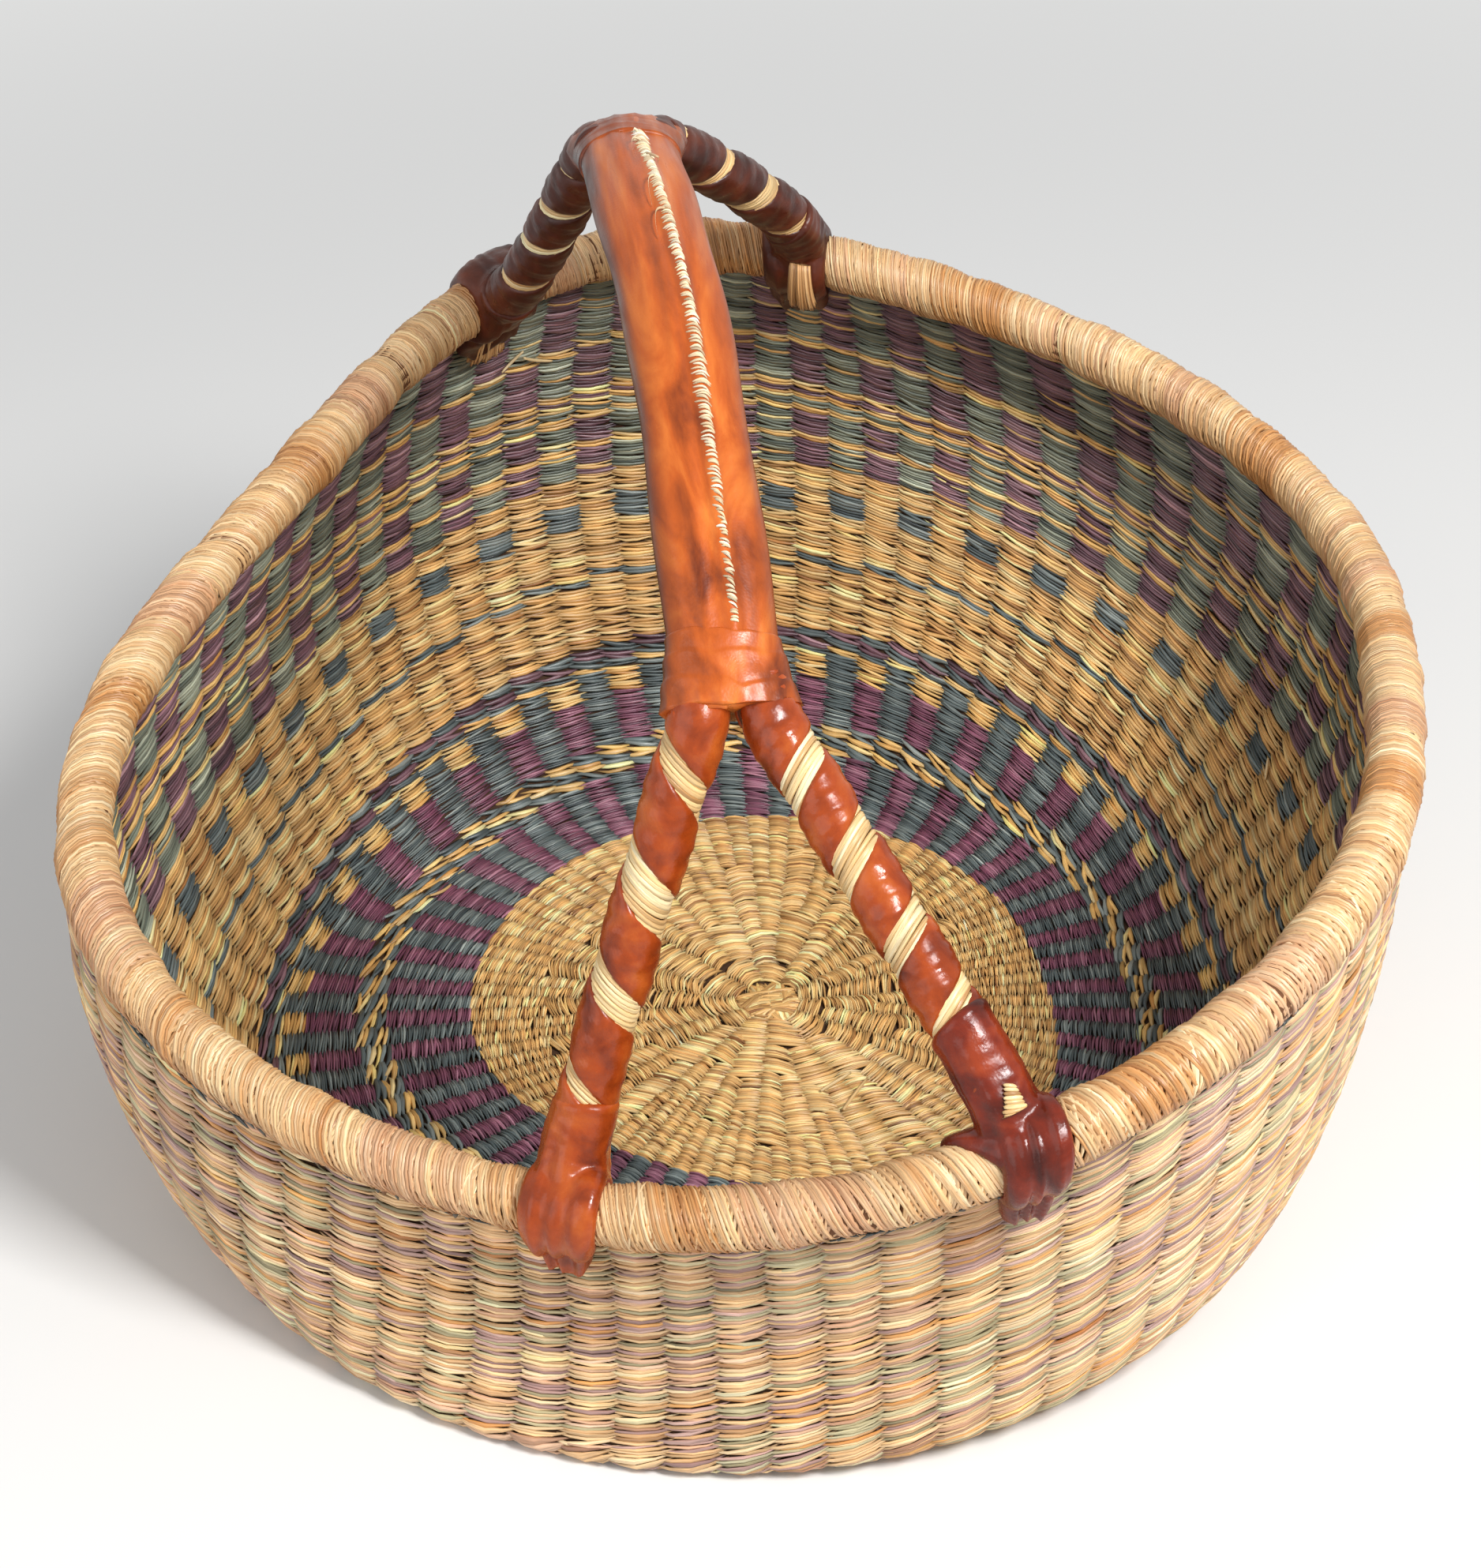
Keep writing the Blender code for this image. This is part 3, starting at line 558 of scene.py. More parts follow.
def inner_tints(columns, pattern, even, odd, random):
    """Inside colours of one row. The dyed checks near the rim are more uneven and have pale strands between them."""
    checked = pattern in ("checks", "swapped_checks")
    spread = 0.26 if checked else 0.17
    count = len(columns)
    colours = np.where((columns % 2 == 0)[:, None], tints(even, count, random, spread), tints(odd, count, random, spread))
    if checked:
        pick = random.uniform(0, 1, count)
        for chosen, kind in ((pick < 0.02, "yellow"), (pick > 0.96, "natural")):
            colours[chosen] = tints(kind, int(chosen.sum()), random, 0.2)
    return colours


def outer_tints(angle, ways, even, odd, random):
    """Outside colours: pale straw, with short streaks of pink, mauve, olive and gold along the rows."""
    count = len(angle)
    columns = np.arange(count)
    streak = np.repeat(columns, random.integers(1, 5, count))[:count]
    pick = random.uniform(0, 1, count)[streak]
    trace = random.uniform(0, 1, count)
    cloud = np.clip(np.sin(angle * 9 + ways * 0.045) + np.sin(angle * 17 - ways * 0.08 + 2), -1.5, 1.5)
    inner = np.where(columns % 2 == 0, even, odd)
    mauve = (pick < 0.11 + 0.07 * cloud) | (np.isin(inner, ("purple", "magenta")) & (trace < 0.15))
    olive = (pick > 0.88 + 0.07 * cloud) | (np.isin(inner, ("grey", "blue")) & (trace < 0.15))
    pink = (pick > 0.30) & (pick < 0.50)
    gold = (pick > 0.62) & (pick < 0.70)
    colours = tints("outer", count, random, 0.14)
    for chosen, kind in ((pink, "outer_pink"), (gold, "outer_gold"), (mauve, "outer_mauve"), (olive, "outer_olive")):
        colours[chosen] = tints(kind, int(chosen.sum()), random, 0.14)
    return colours


def weave_floor(side, word, random, finish):
    end, rows, _ = BANDS[0]
    cells = floor_cells(KNOT_MM, end, rows, random)
    shape = FLOOR_SHAPE
    sloped = np.clip(FLOOR_SLOPE * cells[:, 2] * cells[:, 1] / cells[:, 3], 1.0, 4.0)
    hand = np.where(cells[:, 5] > 1, np.where(cells[:, 4] % 2 == 1, -sloped, sloped), 1.0)
    rings, shade = way_stitches(cells[:, 0], cells[:, 1], cells[:, 2], cells[:, 3], side, random, shape, hand)
    kind = "natural" if side < 0 else "outer"
    # The painted shade darkens each stitch towards its ends.
    colours = tints(kind, len(rings), random, 0.2)[:, None] * shade[..., None]
    order = np.argsort(np.tile(cells[:, 1], len(PLY_PLACES)), kind="stable")
    pieces = math.ceil(len(order) * FACES_PER_PLY / FACES_PER_PIECE)
    for number, chosen in enumerate(np.array_split(order, pieces), start=1):
        strands(f"weave_{word}_floor_{number}", rings[chosen], colours[chosen], finish, ("woven_bowl",))


def knot(side, word, finish):
    """The crossed straw bundles that the weave starts from, at the floor's middle."""
    random = random_for("knot" + word)
    count = 132
    lay = np.arange(count) * KNOT_LAYERS // count
    heading = lay * math.pi / KNOT_LAYERS + random.normal(0, 0.10, count)
    aside = random.uniform(-1, 1, count) * 5.2 * MM
    t = np.linspace(-1, 1, 9)[None, :]
    half_length = KNOT_MM * 1.25 * MM * random.uniform(0.75, 1.0, count)
    along = t * half_length[:, None]
    bow = aside[:, None] * (1.0 + 0.35 * t**2) + random.normal(0, 0.5 * MM, count)[:, None] * t
    x = along * np.cos(heading)[:, None] - bow * np.sin(heading)[:, None]
    y = along * np.sin(heading)[:, None] + bow * np.cos(heading)[:, None]
    height = WALL / 2 - 0.5 * MM - (lay * 0.12 * MM)[:, None] - 2.4 * MM * np.abs(t) ** 2.5
    phi = np.arange(STRAND_SIDES) * 2 * math.pi / STRAND_SIDES
    wide = 0.95 * MM * (1 - 0.75 * np.abs(t) ** 3)
    over = np.stack([-np.sin(heading), np.cos(heading)], -1)[:, None, None, :]
    flat = np.stack([x, y], -1)[:, :, None, :] + over * (wide[..., None] * np.cos(phi))[..., None]
    lift = height[..., None] + 0.5 * MM * np.sin(phi)
    points = np.concatenate([flat, (WALL / 2 - side * lift)[..., None]], -1) + WEAVE_START
    colours = tints("natural" if side < 0 else "outer", count, random, 0.2)
    strands(f"weave_{word}_knot", points, colours, finish, ("woven_bowl",))


def liner(finish):
    """A thin shell between the two faces of the weave, so that no light comes through. Its dark colour is painted shade
    in the depth between the strands.
    """
    ways = np.concatenate([[0.0], np.linspace(6, WAY_MM - 2, 90)])
    angles = np.arange(2 * STAKES) * COLUMN / 2
    half = 1.0 * MM
    sheets = []
    for offset in (half, -half):
        grid = surface(angles[None, :] + 0 * ways[:, None], ways[:, None] + 0 * angles[None, :], np.full((len(ways), len(angles)), offset))
        sheets.append(grid)
    rows = len(ways)
    count = len(angles)
    points = np.concatenate([sheets[0].reshape(-1, 3), sheets[1].reshape(-1, 3)])
    index = np.arange(rows * count).reshape(rows, count)
    here = index[1:-1]
    there = index[2:]
    outer = np.stack([here, np.roll(here, -1, 1), np.roll(there, -1, 1), there], -1).reshape(-1)
    inner = np.stack([there, np.roll(there, -1, 1), np.roll(here, -1, 1), here], -1).reshape(-1) + rows * count
    top = index[-1]
    edge = np.stack([top, np.roll(top, -1), np.roll(top, -1) + rows * count, top + rows * count], -1).reshape(-1)
    ring = index[1]
    low_cap = ring[::-1]
    high_cap = ring + rows * count
    corners = np.concatenate([outer, inner, edge, low_cap, high_cap])
    totals = [4] * ((len(outer) + len(inner) + len(edge)) // 4) + [count, count]
    return new_object("weave_core", points, corners, totals, finish, ("woven_bowl",))


def rim_strands(count, under_mm, slant_share, word, finish):
    """One layer of the straw wound round the rim, slanted and pointed at its lower ends in front, with painted shade
    towards both ends of each strand.
    """
    random = random_for("rim" + word)
    rings = 13
    angle = np.arange(count) * 2 * math.pi / count + random.normal(0, 0.0008, count)
    t = np.linspace(0, 1, rings)[None, :]
    degrees = np.degrees(angle) % 360
    front = np.exp(-((np.abs(degrees - 255) / 62) ** 2))
    reach_deg = 304 + front * random.uniform(-20, 12, count)
    turn = np.radians((t - 0.5) * 304 + np.clip(t - 0.5, 0, 1) * (reach_deg - 304)[:, None])
    slant = slant_share * (0.056 + 0.018 * front) * (1 + 0.15 * np.sin(angle * 7)) * random.uniform(0.93, 1.07, count)
    bow = random.normal(0, 0.0012, count)[:, None] * np.sin(2 * math.pi * t)
    a = angle[:, None] + (t - 0.5) * slant[:, None] + bow
    lump = 0.34 * MM * (np.sin(a * 37 + 1.0) + np.sin(a * 61 + 2.0) * 0.7 + np.sin(a * 13) * 0.9 + np.sin(a * 97) * 0.4)
    radius = (9.2 - under_mm) * MM + lump + random.normal(0, 0.14 * MM, count)[:, None]
    half_width = 0.58 * MM * random.uniform(0.8, 1.25, count)[:, None]
    swell = np.sin(math.pi * np.clip((t + 0.02) / 1.04, 0, 1)) ** 0.35
    swell = swell * (1 - 0.6 * front[:, None] * np.clip((t - 0.86) / 0.14, 0, 1))
    thick = 0.62 * MM
    phi = np.arange(PLY_SIDES) * 2 * math.pi / PLY_SIDES
    aside = a[..., None] + half_width[..., None] * np.cos(phi) * swell[..., None] / RIM_RADIUS
    reach = radius[..., None] + thick * np.sin(phi) * swell[..., None]
    centre, up, out = rim_frames(aside)
    turns = np.broadcast_to(turn[..., None], aside.shape)
    points = centre + (up * np.cos(turns)[..., None] + out * np.sin(turns)[..., None]) * reach[..., None]
    patch = np.sin(angle * 11 + 0.6) + 0.8 * np.sin(angle * 23 + 2.2) + 0.5 * np.sin(angle * 47 + 1) + random.normal(0, 0.35, count)
    pale, pink, gold, deep = (tints(kind, count, random, 0.10, 0.3) for kind in ("rim", "rim_pink", "rim_gold", "rim_painted_shade"))
    pinkish = np.clip((patch - 0.5) / 0.9, 0, 1)[:, None]
    golden = np.clip((-patch - 0.5) / 0.9, 0, 1)[:, None]
    main = pale * (1 - pinkish - golden) + pink * pinkish + gold * golden
    # Painted shade: each strand takes the deep tone towards its two ends, where the roll turns down to the wall, and is
    # palest over the top.
    edge = np.clip(np.abs(t - 0.47 - 0.11 * front[:, None]) * 3.6 - 0.72, 0, 1)[..., None]
    colours = main[:, None] * (1 - edge) + deep[:, None] * edge
    strands(f"rim_winding_{word}", points, colours, finish, ("rim_wrap",))


def rim_fringe(finish):
    """Loose strand ends between the roll and the outer wall, dyed at the front-left and darkened as painted shade under
    the roll.
    """
    random = random_for("fringe")
    count = 760
    angle = np.arange(count) * 2 * math.pi / count + random.normal(0, 0.002, count)
    degrees = np.degrees(angle) % 360
    t = np.linspace(0, 1, 6)[None, :]
    depth_mm = 7.0 + t * random.uniform(2.5, 5.5, count)[:, None]
    lean = random.normal(0.0, 0.010, count)[:, None] * t
    offset = WALL / 2 + (0.4 + 2.2 * (1 - t) + random.uniform(0, 0.9, count)[:, None]) * MM
    phi = np.arange(STRAND_SIDES) * 2 * math.pi / STRAND_SIDES
    thin = (0.85 * random.uniform(0.7, 1.2, count)[:, None] * (1 - 0.7 * t**2))[..., None] * MM
    aside = angle[:, None, None] + lean[..., None] + thin * np.cos(phi) / RIM_RADIUS
    way = np.broadcast_to((WAY_MM - depth_mm)[..., None], aside.shape)
    rings = surface(aside, way, offset[..., None] + 0.6 * thin * np.sin(phi))
    dyed = (degrees > 190) & (degrees < 300) & (random.uniform(0, 1, count) < 0.8)
    dyed |= random.uniform(0, 1, count) < 0.12
    # The blue dye is real; the factors of 0.4 and 0.5 are painted shade under the roll.
    colours = np.where(dyed[:, None], tints("blue", count, random, 0.25) * 0.4, tints("rim_painted_shade", count, random, 0.3) * 0.5)
    strands("rim_fringe", rings, colours, finish, ("rim_wrap",))


def rim_inside(finish):
    """The bundle under the winding."""
    angle = np.arange(352) * 2 * math.pi / 352
    turn = np.arange(16) * 2 * math.pi / 16
    centre, up, out = rim_frames(angle[:, None] + 0 * turn[None, :])
    points = centre + (up * np.cos(turn)[None, :, None] + out * np.sin(turn)[None, :, None]) * 8.6 * MM
    index = np.arange(352 * 16).reshape(352, 16)
    there = np.roll(index, -1, 0)
    corners = np.stack([index, np.roll(index, -1, 1), np.roll(there, -1, 1), there], -1).reshape(-1)
    new_object("rim_bundle", points.reshape(-1, 3), corners, [4] * (352 * 16), finish, ("rim_core",))


# Handle paths, as in the model
def feet_middle(pair):
    centre, _, _ = rim_frames(np.radians(np.array(pair)))
    return Vector((centre[0] + centre[1]) / 2)


FEET_FRONT = feet_middle(FRONT_FEET_DEG)
FEET_BACK = feet_middle(BACK_FEET_DEG)


def arch_point(degrees):
    turn = math.radians(degrees)
    point = (FEET_FRONT + FEET_BACK) / 2 - (FEET_BACK - FEET_FRONT) / 2 * math.cos(turn)
    share = min(max((degrees - ARCH_CHANGE_FROM_DEG) / ARCH_CHANGE_OVER_DEG, 0), 1)
    change = share * share * (3 - 2 * share)
    lean = ARCH_LEAN_FRONT + (ARCH_LEAN_BACK - ARCH_LEAN_FRONT) * change
    rise = ARCH_RISE_FRONT + (ARCH_RISE_BACK - ARCH_RISE_FRONT) * change
    return point + Vector((-lean * math.sin(turn), 0, rise * math.sin(turn)))


def arch_direction(degrees):
    return (arch_point(degrees + 1) - arch_point(degrees - 1)).normalized()


def leg_path(end, side, aside=0.0, steps=60):
    """Points from the cuff up to the mouth of the grip. side is -1 on the left and 1 on the right."""
    feet_deg, turns_deg, grip_deg, inwards = LEG_ENDS[end]
    index = 0 if side < 0 else 1
    angle = math.radians(feet_deg[index])
    foot_turn = math.radians(turns_deg[index])
    rim_step = CUFF_WIDTH / RIM_RADIUS / 2
    centres, ups, outs = rim_frames(np.array([angle - rim_step, angle, angle + rim_step]))
    away = Vector(ups[1]) * math.cos(foot_turn) - Vector(outs[1]) * math.sin(foot_turn)
    start = Vector(centres[1]) + away * (ROLL_RADIUS + CUFF_CLEARANCE + CUFF_LEATHER + LEG_FOOT_CLEARANCE)
    rim_run = Vector(centres[2] - centres[0]).normalized()
    upright = (away - rim_run * away.dot(rim_run)).normalized()
    mouth = arch_point(grip_deg) + Vector((side * (BUNDLE_SPREAD + aside), 0, 0))
    first = start + upright * FOOT_BEND
    second = mouth - arch_direction(grip_deg) * inwards * MOUTH_BEND + Vector((side * MOUTH_FLARE, 0, 0))
    controls = [np.array(point) for point in (start, first, second, mouth)]
    return np.array([bezier(controls, step / steps) for step in range(steps + 1)])


def frames(points):
    """Point, sideways and upper direction along a path, without twist, and the distance along it."""
    along = np.gradient(points, axis=0)
    along /= np.linalg.norm(along, axis=1, keepdims=True)
    side = np.array((1.0, 0.0, 0.0))
    sides = []
    for direction in along:
        side = side - direction * side.dot(direction)
        side /= np.linalg.norm(side)
        sides.append(side)
    sides = np.array(sides)
    run = np.concatenate([[0], np.cumsum(np.linalg.norm(np.diff(points, axis=0), axis=1))])
    return points, sides, np.cross(sides, along), run


def on_path(path, distance, turn, radius):
    """Points at a distance along a path, turned from its side towards its top, at a radius."""
    points, sides, ups, run = path
    centre = np.stack([np.interp(distance, run, points[:, k]) for k in range(3)], -1)
    side = np.stack([np.interp(distance, run, sides[:, k]) for k in range(3)], -1)
    up = np.stack([np.interp(distance, run, ups[:, k]) for k in range(3)], -1)
    return centre + (side * np.cos(turn)[..., None] + up * np.sin(turn)[..., None]) * radius[..., None]


def ripple(u, v, random, low, high, count=14):
    """Smooth random swings of about -1 to 1 that repeat round v, which is an angle."""
    total = np.zeros(np.broadcast(u, v).shape)
    for _ in range(count):
        order = random.integers(0, 5)
        pace = random.uniform(low, high) * random.choice((-1, 1))
        total = total + np.sin(u * pace + v * order + random.uniform(0, 6.28))
    return total / math.sqrt(count)


def tube_object(name, grid, finish, replaced=(), caps=True):
    """A tube from a grid of points, (ring, side, xyz), capped at both ends."""
    grid = faces_out(grid[None])[0]
    rings, sides, _ = grid.shape
    index = np.arange(rings * sides).reshape(rings, sides)
    here = index[:-1]
    there = index[1:]
    quads = np.stack([here, np.roll(here, -1, 1), np.roll(there, -1, 1), there], -1).reshape(-1)
    corners = np.concatenate([quads, index[0, ::-1], index[-1]]) if caps else quads
    totals = [4] * (len(quads) // 4) + ([sides, sides] if caps else [])
    return new_object(name, grid.reshape(-1, 3), corners, totals, finish, replaced)



def strip_path(end, side):
    """A leg's path from its cuff on into the grip, its length up to the mouth and the room beside the other leg."""
    _, _, grip_deg, inwards = LEG_ENDS[end]
    own = leg_path(end, side, MOUTH_ASIDE)
    other = leg_path(end, -side, MOUTH_ASIDE)
    apart = np.linalg.norm(own[:, None] - other[None], axis=2).min(1) / 2
    length = np.linalg.norm(np.diff(own, axis=0), axis=1).sum()
    beyond = []
    for step in BEYOND_MOUTH_DEG:
        spread = BUNDLE_SPREAD + MOUTH_ASIDE * (1 - step / BEYOND_MOUTH_DEG[-1])
        beyond.append(list(arch_point(grip_deg + inwards * step) + Vector((side * spread, 0, 0))))
    path = frames(np.concatenate([own, np.array(beyond)]))
    room = np.concatenate([apart, np.full(len(beyond), apart[-1])])
    return path, length, room


def within(path, room, distance, reach):
    """The reach, held back smoothly where the two legs touch."""
    limit = np.interp(distance, path[3], room) - 0.05 * MM
    return limit - np.log1p(np.exp((limit - reach) / (0.5 * MM))) * 0.5 * MM


def leg_winding(end, word, side, finish):
    """Fine straw wound round a leg, at the slant of its pale bands."""
    name = f"leg_straw_{end}_{word}"
    random = random_for(name)
    path, run, room = strip_path(end, side)
    hand = LEG_HANDS[end] * side
    facing = math.radians(LEG_BANDS[end, word][0])
    pitch = 1.55 * MM
    turns = int((run + 4 * MM) / pitch)
    phi = np.arange(STRAND_SIDES) * 2 * math.pi / STRAND_SIDES
    t = np.linspace(0, 1, 21)[None, :]
    start = np.arange(turns) * pitch + random.normal(0, 0.10 * MM, turns)
    slant = 3.9 * MM * random.uniform(0.88, 1.12, turns)[:, None]
    turn = facing + hand * 2 * math.pi * (t - 0.5) + 0 * start[:, None]
    distance = np.maximum(start[:, None] + slant * np.sin(hand * (turn - facing)) + pitch * (t - 0.5), 0)
    radius = 7.75 * MM + random.normal(0, 0.10 * MM, turns)[:, None] + 0 * t
    radius = within(path, room - 1.4 * MM, distance, radius)
    along = distance[..., None] + 0.95 * MM * np.cos(phi) * random.uniform(0.85, 1.15, turns)[:, None, None]
    reach = radius[..., None] + 0.62 * MM * np.sin(phi)
    rings = on_path(path, np.maximum(along, 0), np.broadcast_to(turn[..., None], along.shape), reach)
    strands(name, rings, tints("leg_straw", turns, random, 0.10), finish, (f"leg_wrap_{end}_{word}",))


def band_helix(end, word):
    """Place and width in metres of the pale band at each turn, band number one at turn zero on the camera's side."""
    bands = LEG_BANDS[end, word][1]
    places = [place for place, _ in bands]
    widths = [width for _, width in bands]
    pitch = (places[-1] - places[0]) / (len(bands) - 1)
    spare = 3
    numbers = np.arange(-spare, len(bands) + spare)
    before = [places[0] - pitch * step for step in range(spare, 0, -1)]
    after = [places[-1] + pitch * step for step in range(1, spare + 1)]
    all_places = np.array(before + places + after) * MM
    all_widths = np.array([0] * spare + widths + [0] * spare) * MM
    return numbers, all_places, all_widths


def leg_strip(end, word, side, finish):
    """The leather strip wound round a leg between its pale bands, thin at its edges and ribbed by the straw."""
    name = f"leg_leather_{end}_{word}"
    random = random_for(name)
    path, run, room = strip_path(end, side)
    hand = LEG_HANDS[end] * side
    numbers, places, widths = band_helix(end, word)
    turns = np.arange(numbers[0], numbers[-1] - 1, 1 / 56)
    begin = 1.0 * MM
    finish_at = run + 9 * MM
    low = np.interp(turns, numbers, places + widths / 2)
    high = np.interp(turns + 1, numbers, places - widths / 2)
    kept = (high > begin + 0.8 * MM) & (low < finish_at - 0.8 * MM)
    turns, low, high = turns[kept], np.maximum(low[kept], begin), np.minimum(high[kept], finish_at)
    turn = math.radians(LEG_BANDS[end, word][0]) + hand * 2 * math.pi * turns
    across = np.concatenate([np.linspace(-1, 1, 23), np.linspace(1, -1, 23)])
    top = np.concatenate([np.ones(23), np.zeros(23)])
    a = across[None, :] + 0 * turns[:, None]
    edge = np.clip(1 - np.abs(across) ** 9, 0, 1) ** 0.5
    middle = (low + high)[:, None] / 2
    half = (high - low)[:, None] / 2
    wander = ripple(turns[:, None] * 9, 0 * a, random, 0.4, 1.6, 8)
    distance = middle + a * half * (1 + 0.02 * wander)
    ribs = np.sin(distance * 2 * math.pi / (2.9 * MM) + 1.1 * wander) + 2.2 * np.sin(distance * 2 * math.pi / (7.4 * MM) + wander)
    wrinkle = ripple(turns[:, None] * 30 + a * 3, 0 * a, random, 0.4, 2.0, 10)
    bulge = np.abs(np.cos(a * math.pi / 2)) ** 0.6
    thick = (0.85 + 0.40 * bulge + 0.10 * ribs * (0.3 + 0.7 * bulge) + 0.09 * wrinkle) * MM * edge[None, :]
    reach = within(path, room, distance, 8.05 * MM + thick)
    reach = np.where(top[None, :] > 0, reach, reach - thick - 0.3 * MM)
    grid = on_path(path, distance, np.broadcast_to(turn[:, None], a.shape), reach)
    tube_object(name, grid, finish, (f"leg_strip_{end}_{word}",))


def bundle(side, word, finish):
    """The grass bundle inside a leg and the grip."""
    front = leg_path("front", side)
    back = leg_path("back", side)[::-1]
    middle = [list(arch_point(d) + Vector((side * BUNDLE_SPREAD, 0, 0))) for d in np.linspace(GRIP_START_DEG, GRIP_END_DEG, 40)[1:-1]]
    path = frames(np.concatenate([front, middle, back]))
    turn = np.linspace(0, 2 * math.pi, 14, endpoint=False)
    distance = np.linspace(0, path[3][-1], 150)[:, None] + 0 * turn[None, :]
    grid = on_path(path, distance, np.broadcast_to(turn[None, :], distance.shape), np.full(distance.shape, 6.6 * MM))
    tube_object(f"grass_bundle_{word}", grid, finish, (f"handle_bundle_{word}",))


def grip_path():
    return frames(np.array([arch_point(d) for d in np.linspace(GRIP_START_DEG, GRIP_END_DEG, 160)]))


def oval_reach(turn, half_width, half_depth):
    return 1 / np.sqrt((np.cos(turn) / half_width) ** 2 + (np.sin(turn) / half_depth) ** 2)


SEAM_TURN = math.radians(72)


def grip_surface(distance, turn, raise_by):
    """Reach of the grip's leather: an oval with lumps, long creases and a ridge along the seam."""
    random = random_for("grip")
    lumps = ripple(distance * 60, turn, random, 0.5, 2.0, 16)
    creases = ripple(distance * 25, turn * 3, random, 0.4, 1.6, 16)
    aside = np.angle(np.exp(1j * (turn - SEAM_TURN)))
    ridge = np.exp(-((aside / 0.16) ** 2)) * 0.9 * MM - np.exp(-(((np.abs(aside) - 0.34) / 0.14) ** 2)) * 0.35 * MM
    return oval_reach(turn, GRIP_HALF_WIDTH, GRIP_HALF_DEPTH) + lumps * 0.32 * MM + creases * 0.22 * MM + ridge + raise_by


def grip(finish):
    path = grip_path()
    turn = np.linspace(0, 2 * math.pi, 96, endpoint=False)
    distance = np.linspace(0, path[3][-1], 240)[:, None] + 0 * turn[None, :]
    turns = np.broadcast_to(turn[None, :], distance.shape)
    grid = on_path(path, distance, turns, grip_surface(distance, turns, 0.0))
    tube_object("grip_leather", grid, finish, ("grip_sleeve",))


def collar(name, replaced, at_start, finish):
    """A leather band wrapped in three laps round a mouth of the grip, wider where the two legs come out."""
    path = grip_path()
    random = random_for(name)
    turn = np.linspace(0, 2 * math.pi, 144, endpoint=False)
    share = np.concatenate([[0.0, 0.004, 0.015], np.linspace(0.035, 0.965, 56), [0.985, 0.996, 1.0]])
    s = share[:, None] + 0 * turn[None, :]
    turns = np.broadcast_to(turn[None, :], s.shape)
    lap = np.zeros(s.shape)
    for place, sway in ((0.72, 0.4), (0.36, 1.9)):
        line = place + 0.035 * np.sin(turns * 2 + sway) + 0.02 * np.sin(turns * 5 + 3 * sway)
        lap = lap + 0.5 - 0.5 * np.tanh((s - line) / 0.018)
    rim = np.clip(np.minimum(s, 1 - s) / 0.03, 0, 1) ** 0.5
    depth = -0.6 + (1.25 + (0.42 if at_start else 0.14) * lap) * rim
    flare = 3.3 * np.clip(1 - s * 1.1, 0, 1) ** 1.3 * np.abs(np.cos(turns)) ** 2
    sideways = 1.8 * MM * np.cos(turns) * (1 if at_start else 0)
    lip = 3.4 * MM * np.exp(-((np.angle(np.exp(1j * (turns - math.radians(78)))) / 0.20) ** 2))
    edge = ripple(turns * 3, turns, random, 1, 3, 8) * 0.35 * MM
    start = -0.6 * MM - edge - lip * (1 - s) ** 3
    along = start + s * (COLLAR_LENGTH + 0.6 * MM) - sideways
    distance = along if at_start else path[3][-1] - along
    creases = ripple(distance * 500, turns, random, 0.6, 1.8, 12) * 0.13 * MM
    puckers = np.abs(np.sin(turns * 9 + 2 * np.sin(turns * 2))) * (1 - s) ** 4 * 0.5 * MM
    base = oval_reach(turns, GRIP_HALF_WIDTH + flare * MM, GRIP_HALF_DEPTH)
    grid = on_path(path, distance, turns, base + depth * MM + creases - puckers)
    tube_object(name, grid, finish, (replaced,))


def seam(finish):
    """Small whip stitches across the seam, with a few loose ends."""
    random = random_for("seam")
    path = grip_path()
    count = 168
    t = np.linspace(0, 1, 7)[None, :]
    start = np.linspace(COLLAR_LENGTH + 1 * MM, path[3][-1] - COLLAR_LENGTH - 3 * MM, count) + random.normal(0, 0.25 * MM, count)
    far = np.linspace(0, 1, count)
    wide = (0.22 + 0.18 * np.clip(np.sin(far * 9 - 1.5), 0, 1) + 0.10 * far) * random.uniform(0.75, 1.25, count)
    turn = SEAM_TURN + (t - 0.5) * wide[:, None] + random.normal(0, 0.02, count)[:, None]
    distance = start[:, None] + (t - 0.5) * 1.5 * MM * random.uniform(0.2, 1.5, count)[:, None]
    lift = 0.50 * MM * np.sin(math.pi * t) - 0.15 * MM
    reach = grip_surface(distance, turn, lift)
    phi = np.arange(STRAND_SIDES) * 2 * math.pi / STRAND_SIDES
    thin = (0.45 * random.uniform(0.8, 1.2, count)[:, None] * np.sin(math.pi * (0.08 + 0.84 * t)) ** 0.5)[..., None] * MM
    along = distance[..., None] + thin * np.cos(phi)
    rings = on_path(path, along, np.broadcast_to(turn[..., None], along.shape), reach[..., None] + thin * np.sin(phi))
    strands("grip_stitches", rings, tints("thread", count, random, 0.18), finish, ("grip_lacing",))
    ends = []
    u = np.linspace(0, 1, 16)
    for share, reach_mm, bend in THREAD_ENDS:
        base = share * path[3][-1]
        away = SEAM_TURN + 0.06 + 0.62 * bend * u - 0.34 * bend * u**2
        place = base - reach_mm * MM * u + 2.2 * MM * np.sin(u * 5) * bend
        height = grip_surface(place, away, 0.5 * MM + 1.5 * MM * np.sin(u * 3.0))
        thin = (0.50 - 0.22 * u[:, None]) * MM
        ends.append(on_path(path, place[:, None] + thin * np.cos(phi), np.broadcast_to(away[:, None], (16, STRAND_SIDES)),
                            height[:, None] + thin * np.sin(phi)))
    strands("grip_thread_ends", np.array(ends), tints("thread", len(ends), random, 0.05), finish, ("grip_lacing",))


